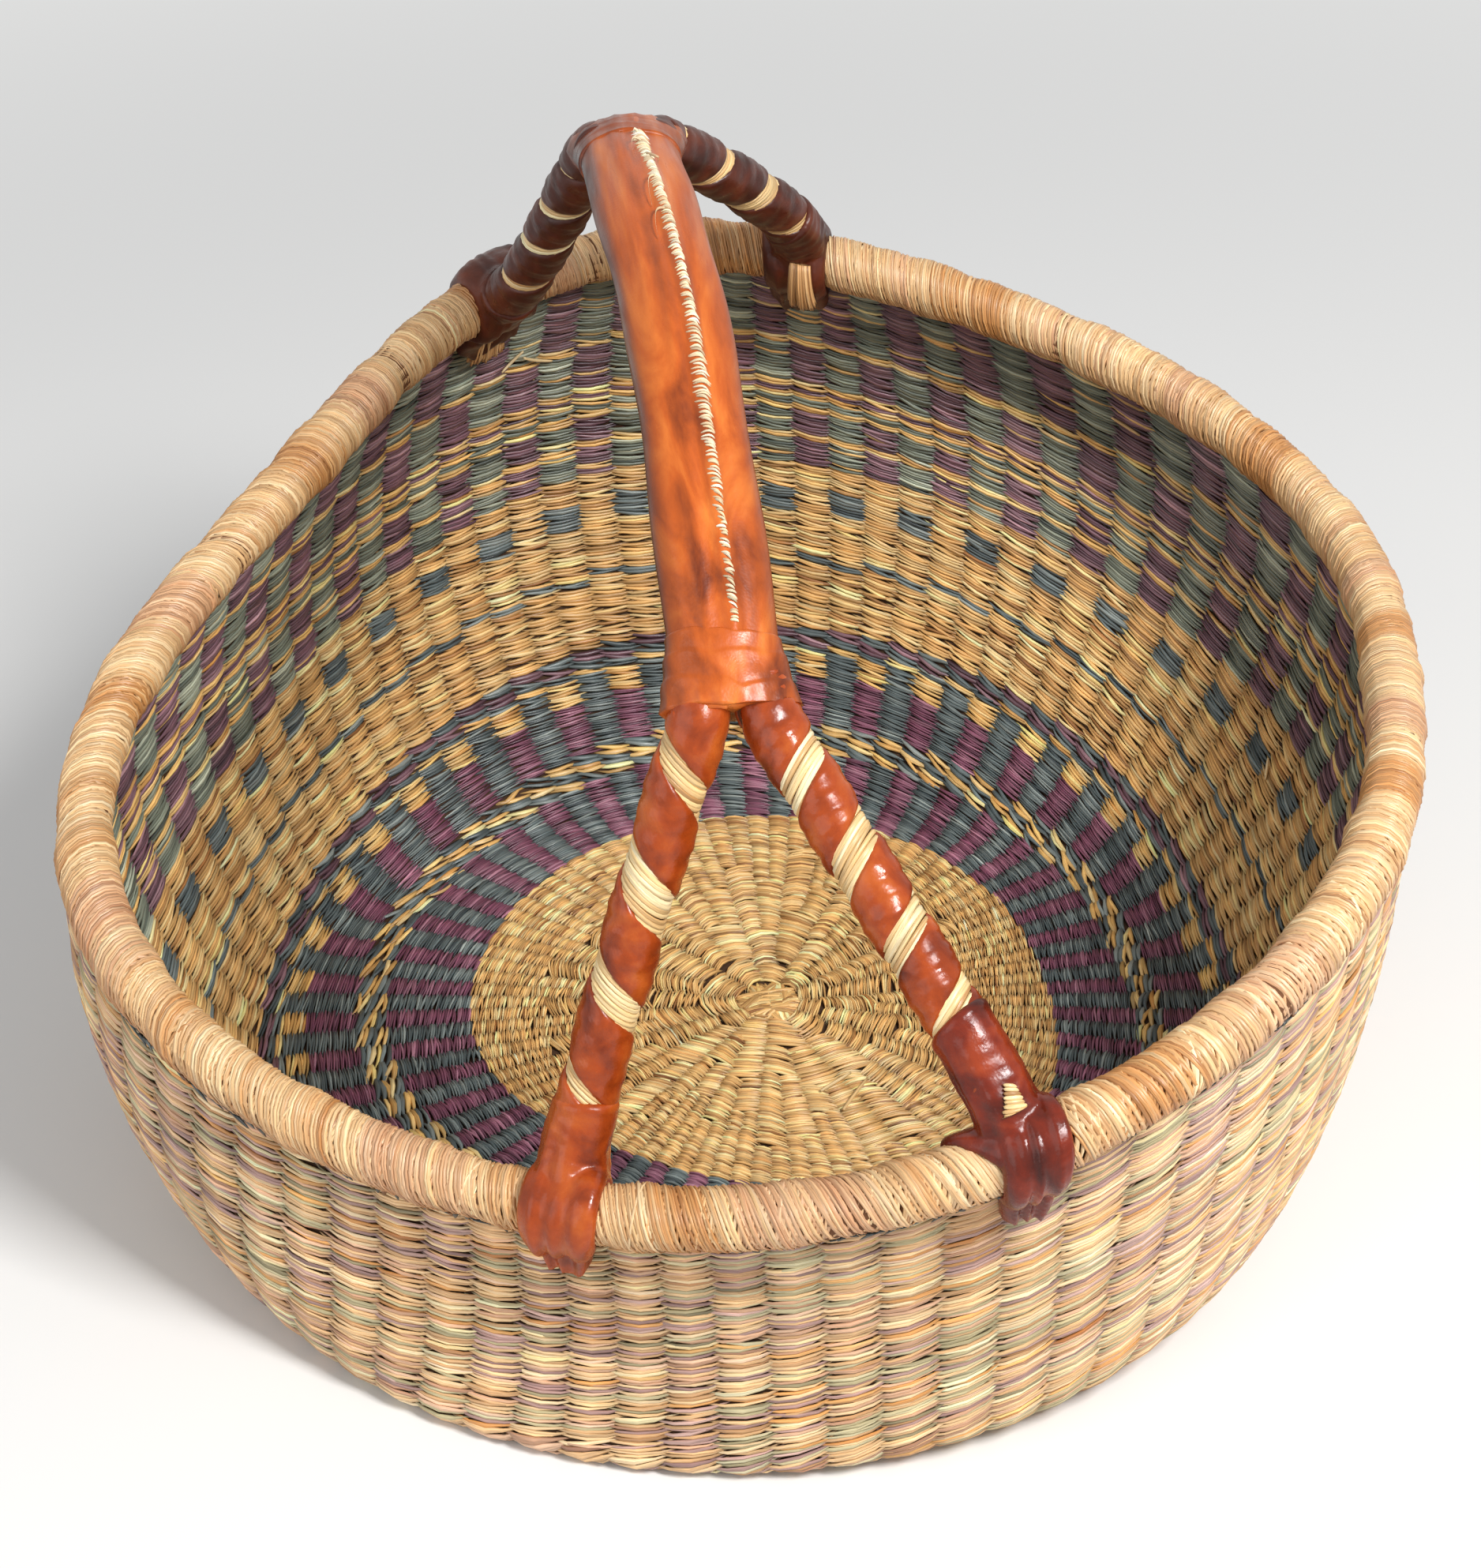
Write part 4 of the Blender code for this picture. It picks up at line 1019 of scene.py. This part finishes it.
def cuff_grid(end, word, degrees):
    """Leather over the rim: a closed sheet from inside the wall, round the roll and down the outside."""
    random = random_for(f"cuff_{end}_{word}")
    top_mm, outer_mm, inner_mm = CUFF_WIDTHS_MM[end, word]
    radius = wave(np.array(math.radians(degrees)), RIM_RADIUS, RIM_RADIUS_WAVE_SHARES)
    middle = math.radians(degrees) + CUFF_ASIDE_MM[end, word] * MM / radius
    place = np.linspace(-1, 1, 71)
    around = np.linspace(-1, 1, 91)
    outward = np.clip(around, 0, 1) ** 2
    inward = np.clip(-around, 0, 1) ** 2
    half_mm = (top_mm + (outer_mm - top_mm) * outward + (inner_mm - top_mm) * inward) / 2
    angle = middle + place[:, None] * half_mm[None, :] * MM / radius
    centre, up, out = rim_frames(angle)
    skirt_from = 0.70
    roll = np.clip(around / skirt_from, -1, 1)[None, :] + 0 * angle
    skirt = np.clip((np.abs(around) - skirt_from) / (1 - skirt_from), 0, 1)[None, :] + 0 * angle
    folds = np.cos(place[:, None] * 9.5 + 1.1 * np.sin(place[:, None] * 4 + around[None, :] * 1.3) + 0.5)
    if (end, word) == ("back", "left"):
        folds = np.cos(around[None, :] * 19 + 2.2 * place[:, None] ** 2 + 1.2 * np.sin(place[:, None] * 3))
    depth_share = 0.2 + 0.8 * np.clip(np.abs(around[None, :]) * 1.4, 0, 1)
    creases = ripple(place[:, None] * 11 + around[None, :] * 0.8, 0 * angle, random, 0.5, 2.0, 12)
    ends = np.clip(1 - np.abs(place[:, None]) ** 5, 0, 1) ** 0.5
    full = CUFF_LEATHER + 1.1 * MM + (1.15 * folds * depth_share + 0.30 * creases) * MM
    leather = CUFF_CLEARANCE + full * ends + 0 * angle
    turn = roll * math.radians(152)
    on_roll = centre + (up * np.cos(turn)[..., None] + out * np.sin(turn)[..., None]) * (ROLL_RADIUS + leather)[..., None]
    drop = 1.0 - 0.22 * np.abs(place[:, None]) ** 2 - 0.15 * np.exp(-(((place[:, None] + 0.25) / 0.12) ** 2))
    drop = drop + 0.18 * np.exp(-(((place[:, None] - 0.5) / 0.22) ** 2)) + 0.04 * ripple(place[:, None] * 7, 0 * place[:, None], random, 0.6, 2.0, 6)
    depth = ROLL_RADIUS * 0.86 + CUFF_SKIRT * skirt * drop
    sense = np.sign(around)[None, :] + 0 * angle
    off = WALL / 2 + 1.8 * MM + leather * (1 - 0.22 * skirt)
    way = WAY_MM - depth / MM
    on_wall = surface(angle, way, sense * off)
    blend = np.clip((np.abs(around) - skirt_from + 0.12) / 0.24, 0, 1)[None, :, None]
    blend = blend * blend * (3 - 2 * blend)
    top = on_roll * (1 - blend) + on_wall * blend
    inner_roll = centre + (up * np.cos(turn)[..., None] + out * np.sin(turn)[..., None]) * (ROLL_RADIUS - 1.2 * MM)
    inner_wall = surface(angle, way, sense * (WALL / 2 - 0.4 * MM))
    low = inner_roll * (1 - blend) + inner_wall * blend
    return np.concatenate([top, low[:, ::-1]], 1)


def ankle_grid(end, word, side):
    """The leg's lowest leather, which widens into its cuff."""
    random = random_for(f"ankle_{end}_{word}")
    path, run, room = strip_path(end, side)
    top_mm, foot_mm, rings_mm = ANKLES_MM[end, word]
    turn = np.linspace(0, 2 * math.pi, 96, endpoint=False)
    share = np.linspace(0, 1, 60)[:, None]
    lean = 2.0 * np.cos(turn[None, :] - math.radians(40)) * share
    distance = (-9.0 + (top_mm + 9.0) * share + lean) * MM
    turns = np.broadcast_to(turn[None, :], distance.shape)
    folds = np.cos(turns * 7.0 + 1.2 * np.sin(turns * 2 + share * 2) + 0.4)
    rings = np.sin(distance / MM * 2 * math.pi / 4.2 + 1.5 * np.sin(turns + 0.6) + 0.8 * np.sin(turns * 2))
    fine = ripple(distance * 380, turns, random, 0.5, 1.4, 8)
    flare = 9.8 + (foot_mm / 2 - 9.8) * (1 - share) ** 1.5 + 0.35 * np.exp(-(((share - 0.95) / 0.04) ** 2))
    shut = np.clip((1 - share) * 16, 0, 1) ** 0.5
    reach = (flare + 0.65 * folds * (1 - share) + rings_mm * rings * (1 - share) ** 0.5 + fine * 0.16) * MM
    reach = reach * (0.86 + 0.14 * shut)
    first = (path[0][1] - path[0][0]) / np.linalg.norm(path[0][1] - path[0][0])
    grid = on_path(path, np.maximum(distance, 0), turns, reach)
    return grid + first * np.minimum(distance, 0)[..., None]


def strap_grid(degrees, start, end, width_mm):
    """A flat strap laid over the roll, from one place and turn round it to another, both in mm and degrees."""
    middle = math.radians(degrees)
    t = np.linspace(0, 1, 40)[:, None]
    across = np.concatenate([np.linspace(-1, 1, 9), np.linspace(1, -1, 9)])[None, :]
    top = np.concatenate([np.ones(9), np.zeros(9)])[None, :]
    ease = t * t * (3 - 2 * t)
    place = start[0] + (end[0] - start[0]) * ease
    turn = np.radians(start[1] + (end[1] - start[1]) * t)
    lean = math.atan2(end[0] - start[0], math.radians(end[1] - start[1]) * (ROLL_RADIUS / MM + 3))
    half = width_mm / 2 * (1 - 0.25 * np.abs(2 * t - 1) ** 3)
    angle = middle + (place + across * half * math.cos(lean)) * MM / RIM_RADIUS
    around = turn - across * half * math.sin(lean) * MM / (ROLL_RADIUS + 3 * MM)
    centre, up, out = rim_frames(angle)
    thick = (1.5 * np.clip(1 - np.abs(across) ** 5, 0, 1) ** 0.5 * top + 0 * t) * MM
    reach = ROLL_RADIUS + 0.5 * MM + thick - 1.6 * MM * (1 - top)
    return centre + (up * np.cos(around)[..., None] + out * np.sin(around)[..., None]) * reach[..., None]


def skin_of(name, grids, voxel, smoothing, finish, replaced):
    """One smooth closed skin round several closed tubes."""
    vertices = []
    faces = []
    for grid in grids:
        grid = faces_out(grid[None])[0]
        rings, sides, _ = grid.shape
        index = np.arange(rings * sides).reshape(rings, sides) + len(vertices)
        here = index[:-1]
        there = index[1:]
        quads = np.stack([here, np.roll(here, -1, 1), np.roll(there, -1, 1), there], -1).reshape(-1, 4)
        vertices.extend(grid.reshape(-1, 3).tolist())
        faces.extend(quads.tolist() + [index[0, ::-1].tolist(), index[-1].tolist()])
    rough = bpy.data.meshes.new(name + "_rough")
    rough.from_pydata(vertices, [], faces)
    carrier = bpy.data.objects.new(name + "_rough", rough)
    bpy.context.scene.collection.objects.link(carrier)
    remesh = carrier.modifiers.new("skin", "REMESH")
    remesh.mode = "VOXEL"
    remesh.voxel_size = voxel
    smooth = carrier.modifiers.new("smooth", "SMOOTH")
    smooth.factor = 0.5
    smooth.iterations = smoothing
    bpy.context.view_layer.update()
    mesh = bpy.data.meshes.new_from_object(carrier.evaluated_get(bpy.context.evaluated_depsgraph_get()))
    bpy.data.objects.remove(carrier)
    bpy.data.meshes.remove(rough)
    mesh.name = name
    mesh.materials.clear()
    mesh.materials.append(finish)
    mesh.polygons.foreach_set("use_smooth", np.ones(len(mesh.polygons), bool))
    made = bpy.data.objects.new(name, mesh)
    bpy.context.scene.collection.objects.link(made)
    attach(made, "root")
    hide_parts(*replaced)
    return made


def hoof(end, word, side, degrees, finish):
    """A leg's foot: its last leather and the leather over the rim, drawn together into one folded form."""
    grids = [cuff_grid(end, word, degrees), ankle_grid(end, word, side)]
    for start, stop, width_mm in STRAPS[end, word]:
        grids.append(strap_grid(degrees, start, stop, width_mm))
    skin_of(f"hoof_{end}_{word}", grids, 0.75 * MM, 3, finish, (f"foot_cuff_{end}_{word}",))


def tuft(end, word, degrees, finish):
    """Straw ends that stick out under a cuff or over the roll, inside the wall."""
    name = f"tuft_{end}_{word}"
    random = random_for(name)
    aside_mm, start, stop, half_mm, over_roll = TUFTS[end, word]
    count = 96
    middle = math.radians(degrees)
    t = np.linspace(0, 1, 9)[None, :]
    place = random.uniform(-1, 1, count)[:, None]
    layer = random.uniform(0, 1, count)[:, None] * np.sqrt(1 - 0.8 * place**2)
    angle = middle + (aside_mm + place * half_mm * (1 + 0.4 * t)) * MM / RIM_RADIUS + random.normal(0, 0.003, count)[:, None] * t
    depth = start + (stop - start) * random.uniform(0.88, 1.0, count)[:, None] * t
    off = WALL / 2 + (0.6 + 4.4 * layer + 1.5 * t) * MM
    phi = np.arange(STRAND_SIDES) * 2 * math.pi / STRAND_SIDES
    thin = (0.80 * random.uniform(0.75, 1.2, count)[:, None] * (1 - 0.30 * t**3))[..., None] * MM
    aside = angle[..., None] + thin * np.cos(phi) / RIM_RADIUS
    if over_roll:
        centre, up, out = rim_frames(aside)
        around = np.broadcast_to(np.radians(depth)[..., None], aside.shape)
        reach = (14.4 + 3.6 * layer + 1.2 * t)[..., None] * MM + thin * np.sin(phi)
        rings = centre + (up * np.cos(around)[..., None] - out * np.sin(around)[..., None]) * reach[..., None]
    else:
        way = np.broadcast_to((WAY_MM - depth)[..., None], aside.shape)
        rings = surface(aside, way, -(off[..., None] + thin * np.sin(phi)))
    strands(name, rings, tints("tuft", count, random, 0.2), finish, (f"straw_tail_{end}_{word}",))


def stray_straws(finish):
    """Loose bits of straw on the inside of the bowl."""
    random = random_for("stray")
    t = np.linspace(-1, 1, 9)[:, None]
    phi = np.arange(STRAND_SIDES)[None, :] * 2 * math.pi / STRAND_SIDES
    rings = []
    for degrees, mm, heading_deg, length_mm, lift_mm in STRAY_STRAWS:
        heading = math.radians(heading_deg)
        thin = 0.62 * (1 - 0.35 * t**2)
        along = t * length_mm / 2
        across = thin * np.cos(phi) + 0.06 * length_mm * t**2
        radius_mm = min(mm, RIM_RADIUS / MM)
        angle = math.radians(degrees) + (along * math.cos(heading) - across * math.sin(heading)) / radius_mm
        way = mm + along * math.sin(heading) + across * math.cos(heading)
        lift = WALL / 2 + (0.5 + lift_mm * (0.5 + 0.5 * t) ** 2 + thin * np.sin(phi)) * MM
        rings.append(surface(angle, way, -lift))
    strands("stray_straws", np.array(rings), tints("leg_straw", len(rings), random, 0.08), finish, ("woven_bowl",))


def foot_straw(finish):
    """Straw that shows in a wedge between the leathers of the right front foot."""
    random = random_for("foot_straw")
    path, _, _ = strip_path("front", 1)
    facing = math.radians(LEG_BANDS["front", "right"][0])
    count = 9
    t = np.linspace(-1, 1, 9)[None, :]
    share = np.linspace(0, 1, count)[:, None]
    spread = 0.36 - 0.20 * share + random.normal(0, 0.015, count)[:, None]
    turn = facing - 0.16 + t * spread - 0.20 * share
    distance = (-1.6 + 7.6 * share + 0.9 * t) * MM
    reach = (10.5 + 0.55 * np.cos(t * 1.5) + random.normal(0, 0.08, count)[:, None]) * MM
    phi = np.arange(STRAND_SIDES) * 2 * math.pi / STRAND_SIDES
    thin = (0.68 * (1 - 0.5 * t**4) + 0 * share)[..., None] * MM
    along = distance[..., None] + thin * np.cos(phi)
    rings = on_path(path, along, np.broadcast_to(turn[..., None], along.shape), reach[..., None] + thin * np.sin(phi))
    colours = tints("leg_straw", count, random, 0.1)
    strands("foot_straw_front_right", rings, colours, finish, ("straw_tail_front_right",))


def node(tree, kind, **values):
    made = tree.nodes.new(kind)
    for name, value in values.items():
        setattr(made, name, value)
    return made


def straw_finish(name, roughness, specular, bump=0.5):
    """Dyed straw: each strand's own tint with fine lighter and darker fibres along it."""
    made = bpy.data.materials.new(name)
    made.use_nodes = True
    tree = made.node_tree
    shader = tree.nodes["Principled BSDF"]
    shader.inputs["Specular IOR Level"].default_value = specular
    tint = node(tree, "ShaderNodeAttribute", attribute_name="tint")
    grain = node(tree, "ShaderNodeUVMap", uv_map="grain")
    stretch = node(tree, "ShaderNodeMapping")
    stretch.inputs["Scale"].default_value = (0.9, 9.0, 1.0)
    fibres = node(tree, "ShaderNodeTexNoise")
    fibres.inputs["Scale"].default_value = 1.0
    fibres.inputs["Detail"].default_value = 3.0
    shade = node(tree, "ShaderNodeMapRange")
    shade.inputs["From Min"].default_value = 0.3
    shade.inputs["From Max"].default_value = 0.7
    shade.inputs["To Min"].default_value = 0.66
    shade.inputs["To Max"].default_value = 1.22
    mix = node(tree, "ShaderNodeMix", data_type="RGBA", blend_type="MULTIPLY")
    mix.inputs["Factor"].default_value = 1.0
    rough = node(tree, "ShaderNodeMapRange")
    rough.inputs["To Min"].default_value = roughness + 0.12
    rough.inputs["To Max"].default_value = roughness - 0.12
    bumps = node(tree, "ShaderNodeBump")
    bumps.inputs["Strength"].default_value = bump
    bumps.inputs["Distance"].default_value = 0.3 * MM
    link = tree.links.new
    link(grain.outputs["UV"], stretch.inputs["Vector"])
    link(stretch.outputs["Vector"], fibres.inputs["Vector"])
    link(fibres.outputs["Fac"], shade.inputs["Value"])
    link(tint.outputs["Color"], mix.inputs[6])
    link(shade.outputs["Result"], mix.inputs[7])
    link(mix.outputs[2], shader.inputs["Base Color"])
    link(fibres.outputs["Fac"], rough.inputs["Value"])
    link(rough.outputs["Result"], shader.inputs["Roughness"])
    link(fibres.outputs["Fac"], bumps.inputs["Height"])
    link(bumps.outputs["Normal"], shader.inputs["Normal"])
    return made


def painted_shade_straw(name, colour):
    """The straw in the depth of the weave, seen only between strands, in a dark colour that paints the shade there."""
    made = bpy.data.materials.new(name)
    made.use_nodes = True
    tree = made.node_tree
    shader = tree.nodes["Principled BSDF"]
    shader.inputs["Roughness"].default_value = 0.85
    speckle = node(tree, "ShaderNodeTexNoise")
    speckle.inputs["Scale"].default_value = 400.0
    ramp = node(tree, "ShaderNodeValToRGB")
    ramp.color_ramp.elements[0].color = (*(linear(colour) * 0.5), 1)
    ramp.color_ramp.elements[1].color = (*linear(colour), 1)
    place = node(tree, "ShaderNodeTexCoord")
    tree.links.new(place.outputs["Object"], speckle.inputs["Vector"])
    tree.links.new(speckle.outputs["Fac"], ramp.inputs["Fac"])
    tree.links.new(ramp.outputs["Color"], shader.inputs["Base Color"])
    return made


def leather_finish(name, dark, usual, light, roughness=0.30, stretch=(1.0, 1.0, 1.0), sides=(1.0, 1.0)):
    """Rubbed leather: cloudy tone drawn out along the stretch, fine grain and dull wear, and painted shade on its two
    sides, where the surface faces along x.
    """
    made = bpy.data.materials.new(name)
    made.use_nodes = True
    tree = made.node_tree
    shader = tree.nodes["Principled BSDF"]
    shader.inputs["Specular IOR Level"].default_value = 0.32
    place = node(tree, "ShaderNodeTexCoord")
    drawn = node(tree, "ShaderNodeMapping")
    drawn.inputs["Scale"].default_value = stretch
    clouds = node(tree, "ShaderNodeTexNoise")
    clouds.inputs["Scale"].default_value = 70.0
    clouds.inputs["Detail"].default_value = 6.0
    clouds.inputs["Roughness"].default_value = 0.55
    clouds.inputs["Distortion"].default_value = 0.4
    ramp = node(tree, "ShaderNodeValToRGB")
    ramp.color_ramp.elements[0].position = 0.28
    ramp.color_ramp.elements[0].color = (*linear(dark), 1)
    ramp.color_ramp.elements[1].position = 0.74
    ramp.color_ramp.elements[1].color = (*linear(light), 1)
    middle = ramp.color_ramp.elements.new(0.5)
    middle.color = (*linear(usual), 1)
    grain = node(tree, "ShaderNodeTexVoronoi")
    grain.inputs["Scale"].default_value = 1100.0
    wear = node(tree, "ShaderNodeTexNoise")
    wear.inputs["Scale"].default_value = 230.0
    wear.inputs["Detail"].default_value = 5.0
    rough = node(tree, "ShaderNodeMapRange")
    rough.inputs["From Min"].default_value = 0.3
    rough.inputs["From Max"].default_value = 0.7
    rough.inputs["To Min"].default_value = roughness - 0.08
    rough.inputs["To Max"].default_value = roughness + 0.18
    fine = node(tree, "ShaderNodeBump")
    fine.inputs["Strength"].default_value = 0.16
    fine.inputs["Distance"].default_value = 0.2 * MM
    coarse = node(tree, "ShaderNodeBump")
    coarse.inputs["Strength"].default_value = 0.30
    coarse.inputs["Distance"].default_value = 0.5 * MM
    # Painted shade: the colour is darkened where the surface faces left or right along x, by the two values of sides.
    geometry = node(tree, "ShaderNodeNewGeometry")
    split = node(tree, "ShaderNodeSeparateXYZ")
    painted_side_shade = node(tree, "ShaderNodeFloatCurve")
    curve = painted_side_shade.mapping.curves[0]
    curve.points[0].location = (-1.0, sides[0])
    curve.points[1].location = (1.0, sides[1])
    curve.points.new(-0.45, 1.0)
    curve.points.new(0.45, 1.0)
    painted_side_shade.mapping.clip_min_x = -1.0
    painted_side_shade.mapping.update()
    shaded = node(tree, "ShaderNodeMix", data_type="RGBA", blend_type="MULTIPLY")
    shaded.inputs["Factor"].default_value = 1.0
    link = tree.links.new
    link(place.outputs["Object"], drawn.inputs["Vector"])
    for texture in (clouds, wear):
        link(drawn.outputs["Vector"], texture.inputs["Vector"])
    link(place.outputs["Object"], grain.inputs["Vector"])
    link(clouds.outputs["Fac"], ramp.inputs["Fac"])
    link(ramp.outputs["Color"], shaded.inputs[6])
    link(geometry.outputs["Normal"], split.inputs["Vector"])
    link(split.outputs["X"], painted_side_shade.inputs["Value"])
    link(painted_side_shade.outputs["Value"], shaded.inputs[7])
    link(shaded.outputs[2], shader.inputs["Base Color"])
    link(wear.outputs["Fac"], rough.inputs["Value"])
    link(rough.outputs["Result"], shader.inputs["Roughness"])
    link(wear.outputs["Fac"], coarse.inputs["Height"])
    link(grain.outputs["Distance"], fine.inputs["Height"])
    link(coarse.outputs["Normal"], fine.inputs["Normal"])
    link(fine.outputs["Normal"], shader.inputs["Normal"])
    return made


# Camera of the photograph, fitted to the rim, the dyed rings and the lower silhouette
CAMERA_AZIMUTH_DEG = -5.882829
CAMERA_ELEVATION_DEG = 33.808263
CAMERA_DISTANCE = 1.184558
CAMERA_ROLL_DEG = -2.337029
CAMERA_TARGET = Vector((-0.00166, 0.02931, 0.09937))
CAMERA_LENS_MM = 79.5
CAMERA_SENSOR_MM = 36.0


def camera():
    azimuth = math.radians(CAMERA_AZIMUTH_DEG)
    elevation = math.radians(CAMERA_ELEVATION_DEG)
    roll = math.radians(CAMERA_ROLL_DEG)
    back = Vector((math.sin(azimuth) * math.cos(elevation), -math.cos(azimuth) * math.cos(elevation), math.sin(elevation)))
    right = Vector((0, 0, 1)).cross(back).normalized()
    over = back.cross(right)
    across = right * math.cos(roll) + over * math.sin(roll)
    above = -right * math.sin(roll) + over * math.cos(roll)
    data = bpy.data.cameras.new("camera")
    data.sensor_fit = "AUTO"
    data.sensor_width = CAMERA_SENSOR_MM
    data.lens = CAMERA_LENS_MM
    made = bpy.data.objects.new("camera", data)
    turned = Matrix((across, above, back)).transposed().to_4x4()
    made.matrix_world = Matrix.Translation(CAMERA_TARGET + back * CAMERA_DISTANCE) @ turned
    bpy.context.scene.collection.objects.link(made)
    bpy.context.scene.camera = made


def area_light(name, place, aim, size, watts):
    data = bpy.data.lights.new(name, "AREA")
    data.size = size
    data.energy = watts
    made = bpy.data.objects.new(name, data)
    made.location = place
    made.rotation_euler = (Vector(place) - Vector(aim)).to_track_quat("Z", "Y").to_euler()
    bpy.context.scene.collection.objects.link(made)


BACKDROP = (0.86, 0.86, 0.85, 1)


def seen_share(tree):
    """One where the camera, a gloss or a glass sees the backdrop itself, and zero where it lights the basket."""
    rays = node(tree, "ShaderNodeLightPath")
    first = node(tree, "ShaderNodeMath", operation="MAXIMUM")
    second = node(tree, "ShaderNodeMath", operation="MAXIMUM")
    tree.links.new(rays.outputs["Is Camera Ray"], first.inputs[0])
    tree.links.new(rays.outputs["Is Glossy Ray"], first.inputs[1])
    tree.links.new(first.outputs[0], second.inputs[0])
    tree.links.new(rays.outputs["Is Transmission Ray"], second.inputs[1])
    return second.outputs[0]


def fade_floor(tree):
    """The floor turns into the plain backdrop away from the basket."""
    place = node(tree, "ShaderNodeTexCoord")
    length = node(tree, "ShaderNodeVectorMath", operation="LENGTH")
    far = node(tree, "ShaderNodeMapRange", interpolation_type="SMOOTHSTEP")
    far.inputs["From Min"].default_value = 0.45
    far.inputs["From Max"].default_value = 1.7
    share = node(tree, "ShaderNodeMath", operation="MULTIPLY")
    glow = node(tree, "ShaderNodeEmission")
    glow.inputs["Color"].default_value = BACKDROP
    blend = node(tree, "ShaderNodeMixShader")
    link = tree.links.new
    link(place.outputs["Object"], length.inputs[0])
    link(length.outputs["Value"], far.inputs["Value"])
    link(far.outputs["Result"], share.inputs[0])
    link(seen_share(tree), share.inputs[1])
    link(share.outputs[0], blend.inputs[0])
    link(tree.nodes["Principled BSDF"].outputs[0], blend.inputs[1])
    link(glow.outputs[0], blend.inputs[2])
    link(blend.outputs[0], tree.nodes["Material Output"].inputs["Surface"])


def stage():
    """Pale floor, soft key light from the camera's right and a weak fill all round."""
    mesh = bpy.data.meshes.new("floor")
    half = 60.0
    mesh.from_pydata([(-half, -half, 0), (half, -half, 0), (half, half, 0), (-half, half, 0)], [], [(0, 1, 2, 3)])
    floor = bpy.data.objects.new("floor", mesh)
    bpy.context.scene.collection.objects.link(floor)
    finish = bpy.data.materials.new("floor")
    finish.use_nodes = True
    shader = finish.node_tree.nodes["Principled BSDF"]
    shader.inputs["Base Color"].default_value = (0.80, 0.79, 0.77, 1)
    shader.inputs["Roughness"].default_value = 0.9
    shader.inputs["Specular IOR Level"].default_value = 0.1
    mesh.materials.append(finish)
    fade_floor(finish.node_tree)
    world = bpy.data.worlds.new("studio")
    world.use_nodes = True
    light = world.node_tree.nodes["Background"]
    light.inputs["Color"].default_value = (0.93, 0.96, 1.0, 1)
    light.inputs["Strength"].default_value = 0.45
    seen = node(world.node_tree, "ShaderNodeBackground")
    seen.inputs["Color"].default_value = BACKDROP
    blend = node(world.node_tree, "ShaderNodeMixShader")
    link = world.node_tree.links.new
    link(seen_share(world.node_tree), blend.inputs[0])
    link(light.outputs[0], blend.inputs[1])
    link(seen.outputs[0], blend.inputs[2])
    link(blend.outputs[0], world.node_tree.nodes["World Output"].inputs["Surface"])
    bpy.context.scene.world = world
    area_light("key", (0.62, -0.85, 1.25), (0.0, 0.0, 0.1), 0.42, 26)
    area_light("fill", (-1.3, -0.8, 0.9), (0.0, 0.0, 0.1), 1.4, 9)
    bpy.context.scene.view_settings.view_transform = "Standard"


def build():
    straw = straw_finish("straw", 0.40, 0.6)
    fine_straw = straw_finish("winding_straw", 0.40, 0.6)
    thread = straw_finish("waxed_thread", 0.5, 0.4)
    # Dark colours of the weave's depth and of the bundles under the winding: painted shade.
    deep = painted_shade_straw("straw_core_painted_shade", (74, 46, 22))
    rim_painted_shade = painted_shade_straw("rim_core", (110, 66, 32))
    # The last pair of each grip leather is painted shade on its left and right sides.
    grip_leather = leather_finish("grip_leather", (100, 38, 9), (174, 80, 24), (212, 118, 48), 0.30, (1.3, 0.16, 1.0), (0.2, 0.45))
    end_leather = leather_finish("grip_end_leather", (84, 31, 9), (146, 66, 22), (190, 102, 44), 0.30, (1.3, 0.16, 1.0), (0.2, 0.45))
    leg_leather = leather_finish("leg_leather", (98, 32, 9), (154, 62, 18), (188, 94, 36), 0.22)
    foot_leather = leather_finish("foot_leather", (60, 16, 8), (112, 34, 14), (156, 62, 28), 0.20)
    back_leather = leather_finish("back_leg_leather", (38, 14, 8), (70, 27, 14), (104, 47, 25), 0.34)
    liner(deep)
    for side, word in ((-1, "inside"), (1, "outside")):
        random = random_for(word)
        weave_floor(side, word, random, straw)
        knot(side, word, straw)
        weave_rows(side, word, random, straw)
    rim_inside(rim_painted_shade)
    for count, under_mm, slant_share, word in RIM_LAYERS:
        rim_strands(count, under_mm, slant_share, word, fine_straw)
    rim_fringe(fine_straw)
    for end, pair in (("front", FRONT_FEET_DEG), ("back", BACK_FEET_DEG)):
        for side, word, degrees in ((-1, "left", pair[0]), (1, "right", pair[1])):
            strip_leather = leg_leather if end == "front" else back_leather
            cuff_leather = foot_leather if (end, word) == ("front", "right") else strip_leather
            leg_winding(end, word, side, fine_straw)
            leg_strip(end, word, side, strip_leather)
            hoof(end, word, side, degrees, cuff_leather)
            tuft(end, word, degrees, fine_straw)
    stray_straws(fine_straw)
    foot_straw(fine_straw)
    bundle(-1, "left", rim_painted_shade)
    bundle(1, "right", rim_painted_shade)
    grip(grip_leather)
    collar("collar_band_front", "collar_front", True, grip_leather)
    collar("collar_band_back", "collar_back", False, end_leather)
    seam(thread)


camera()
stage()
build()
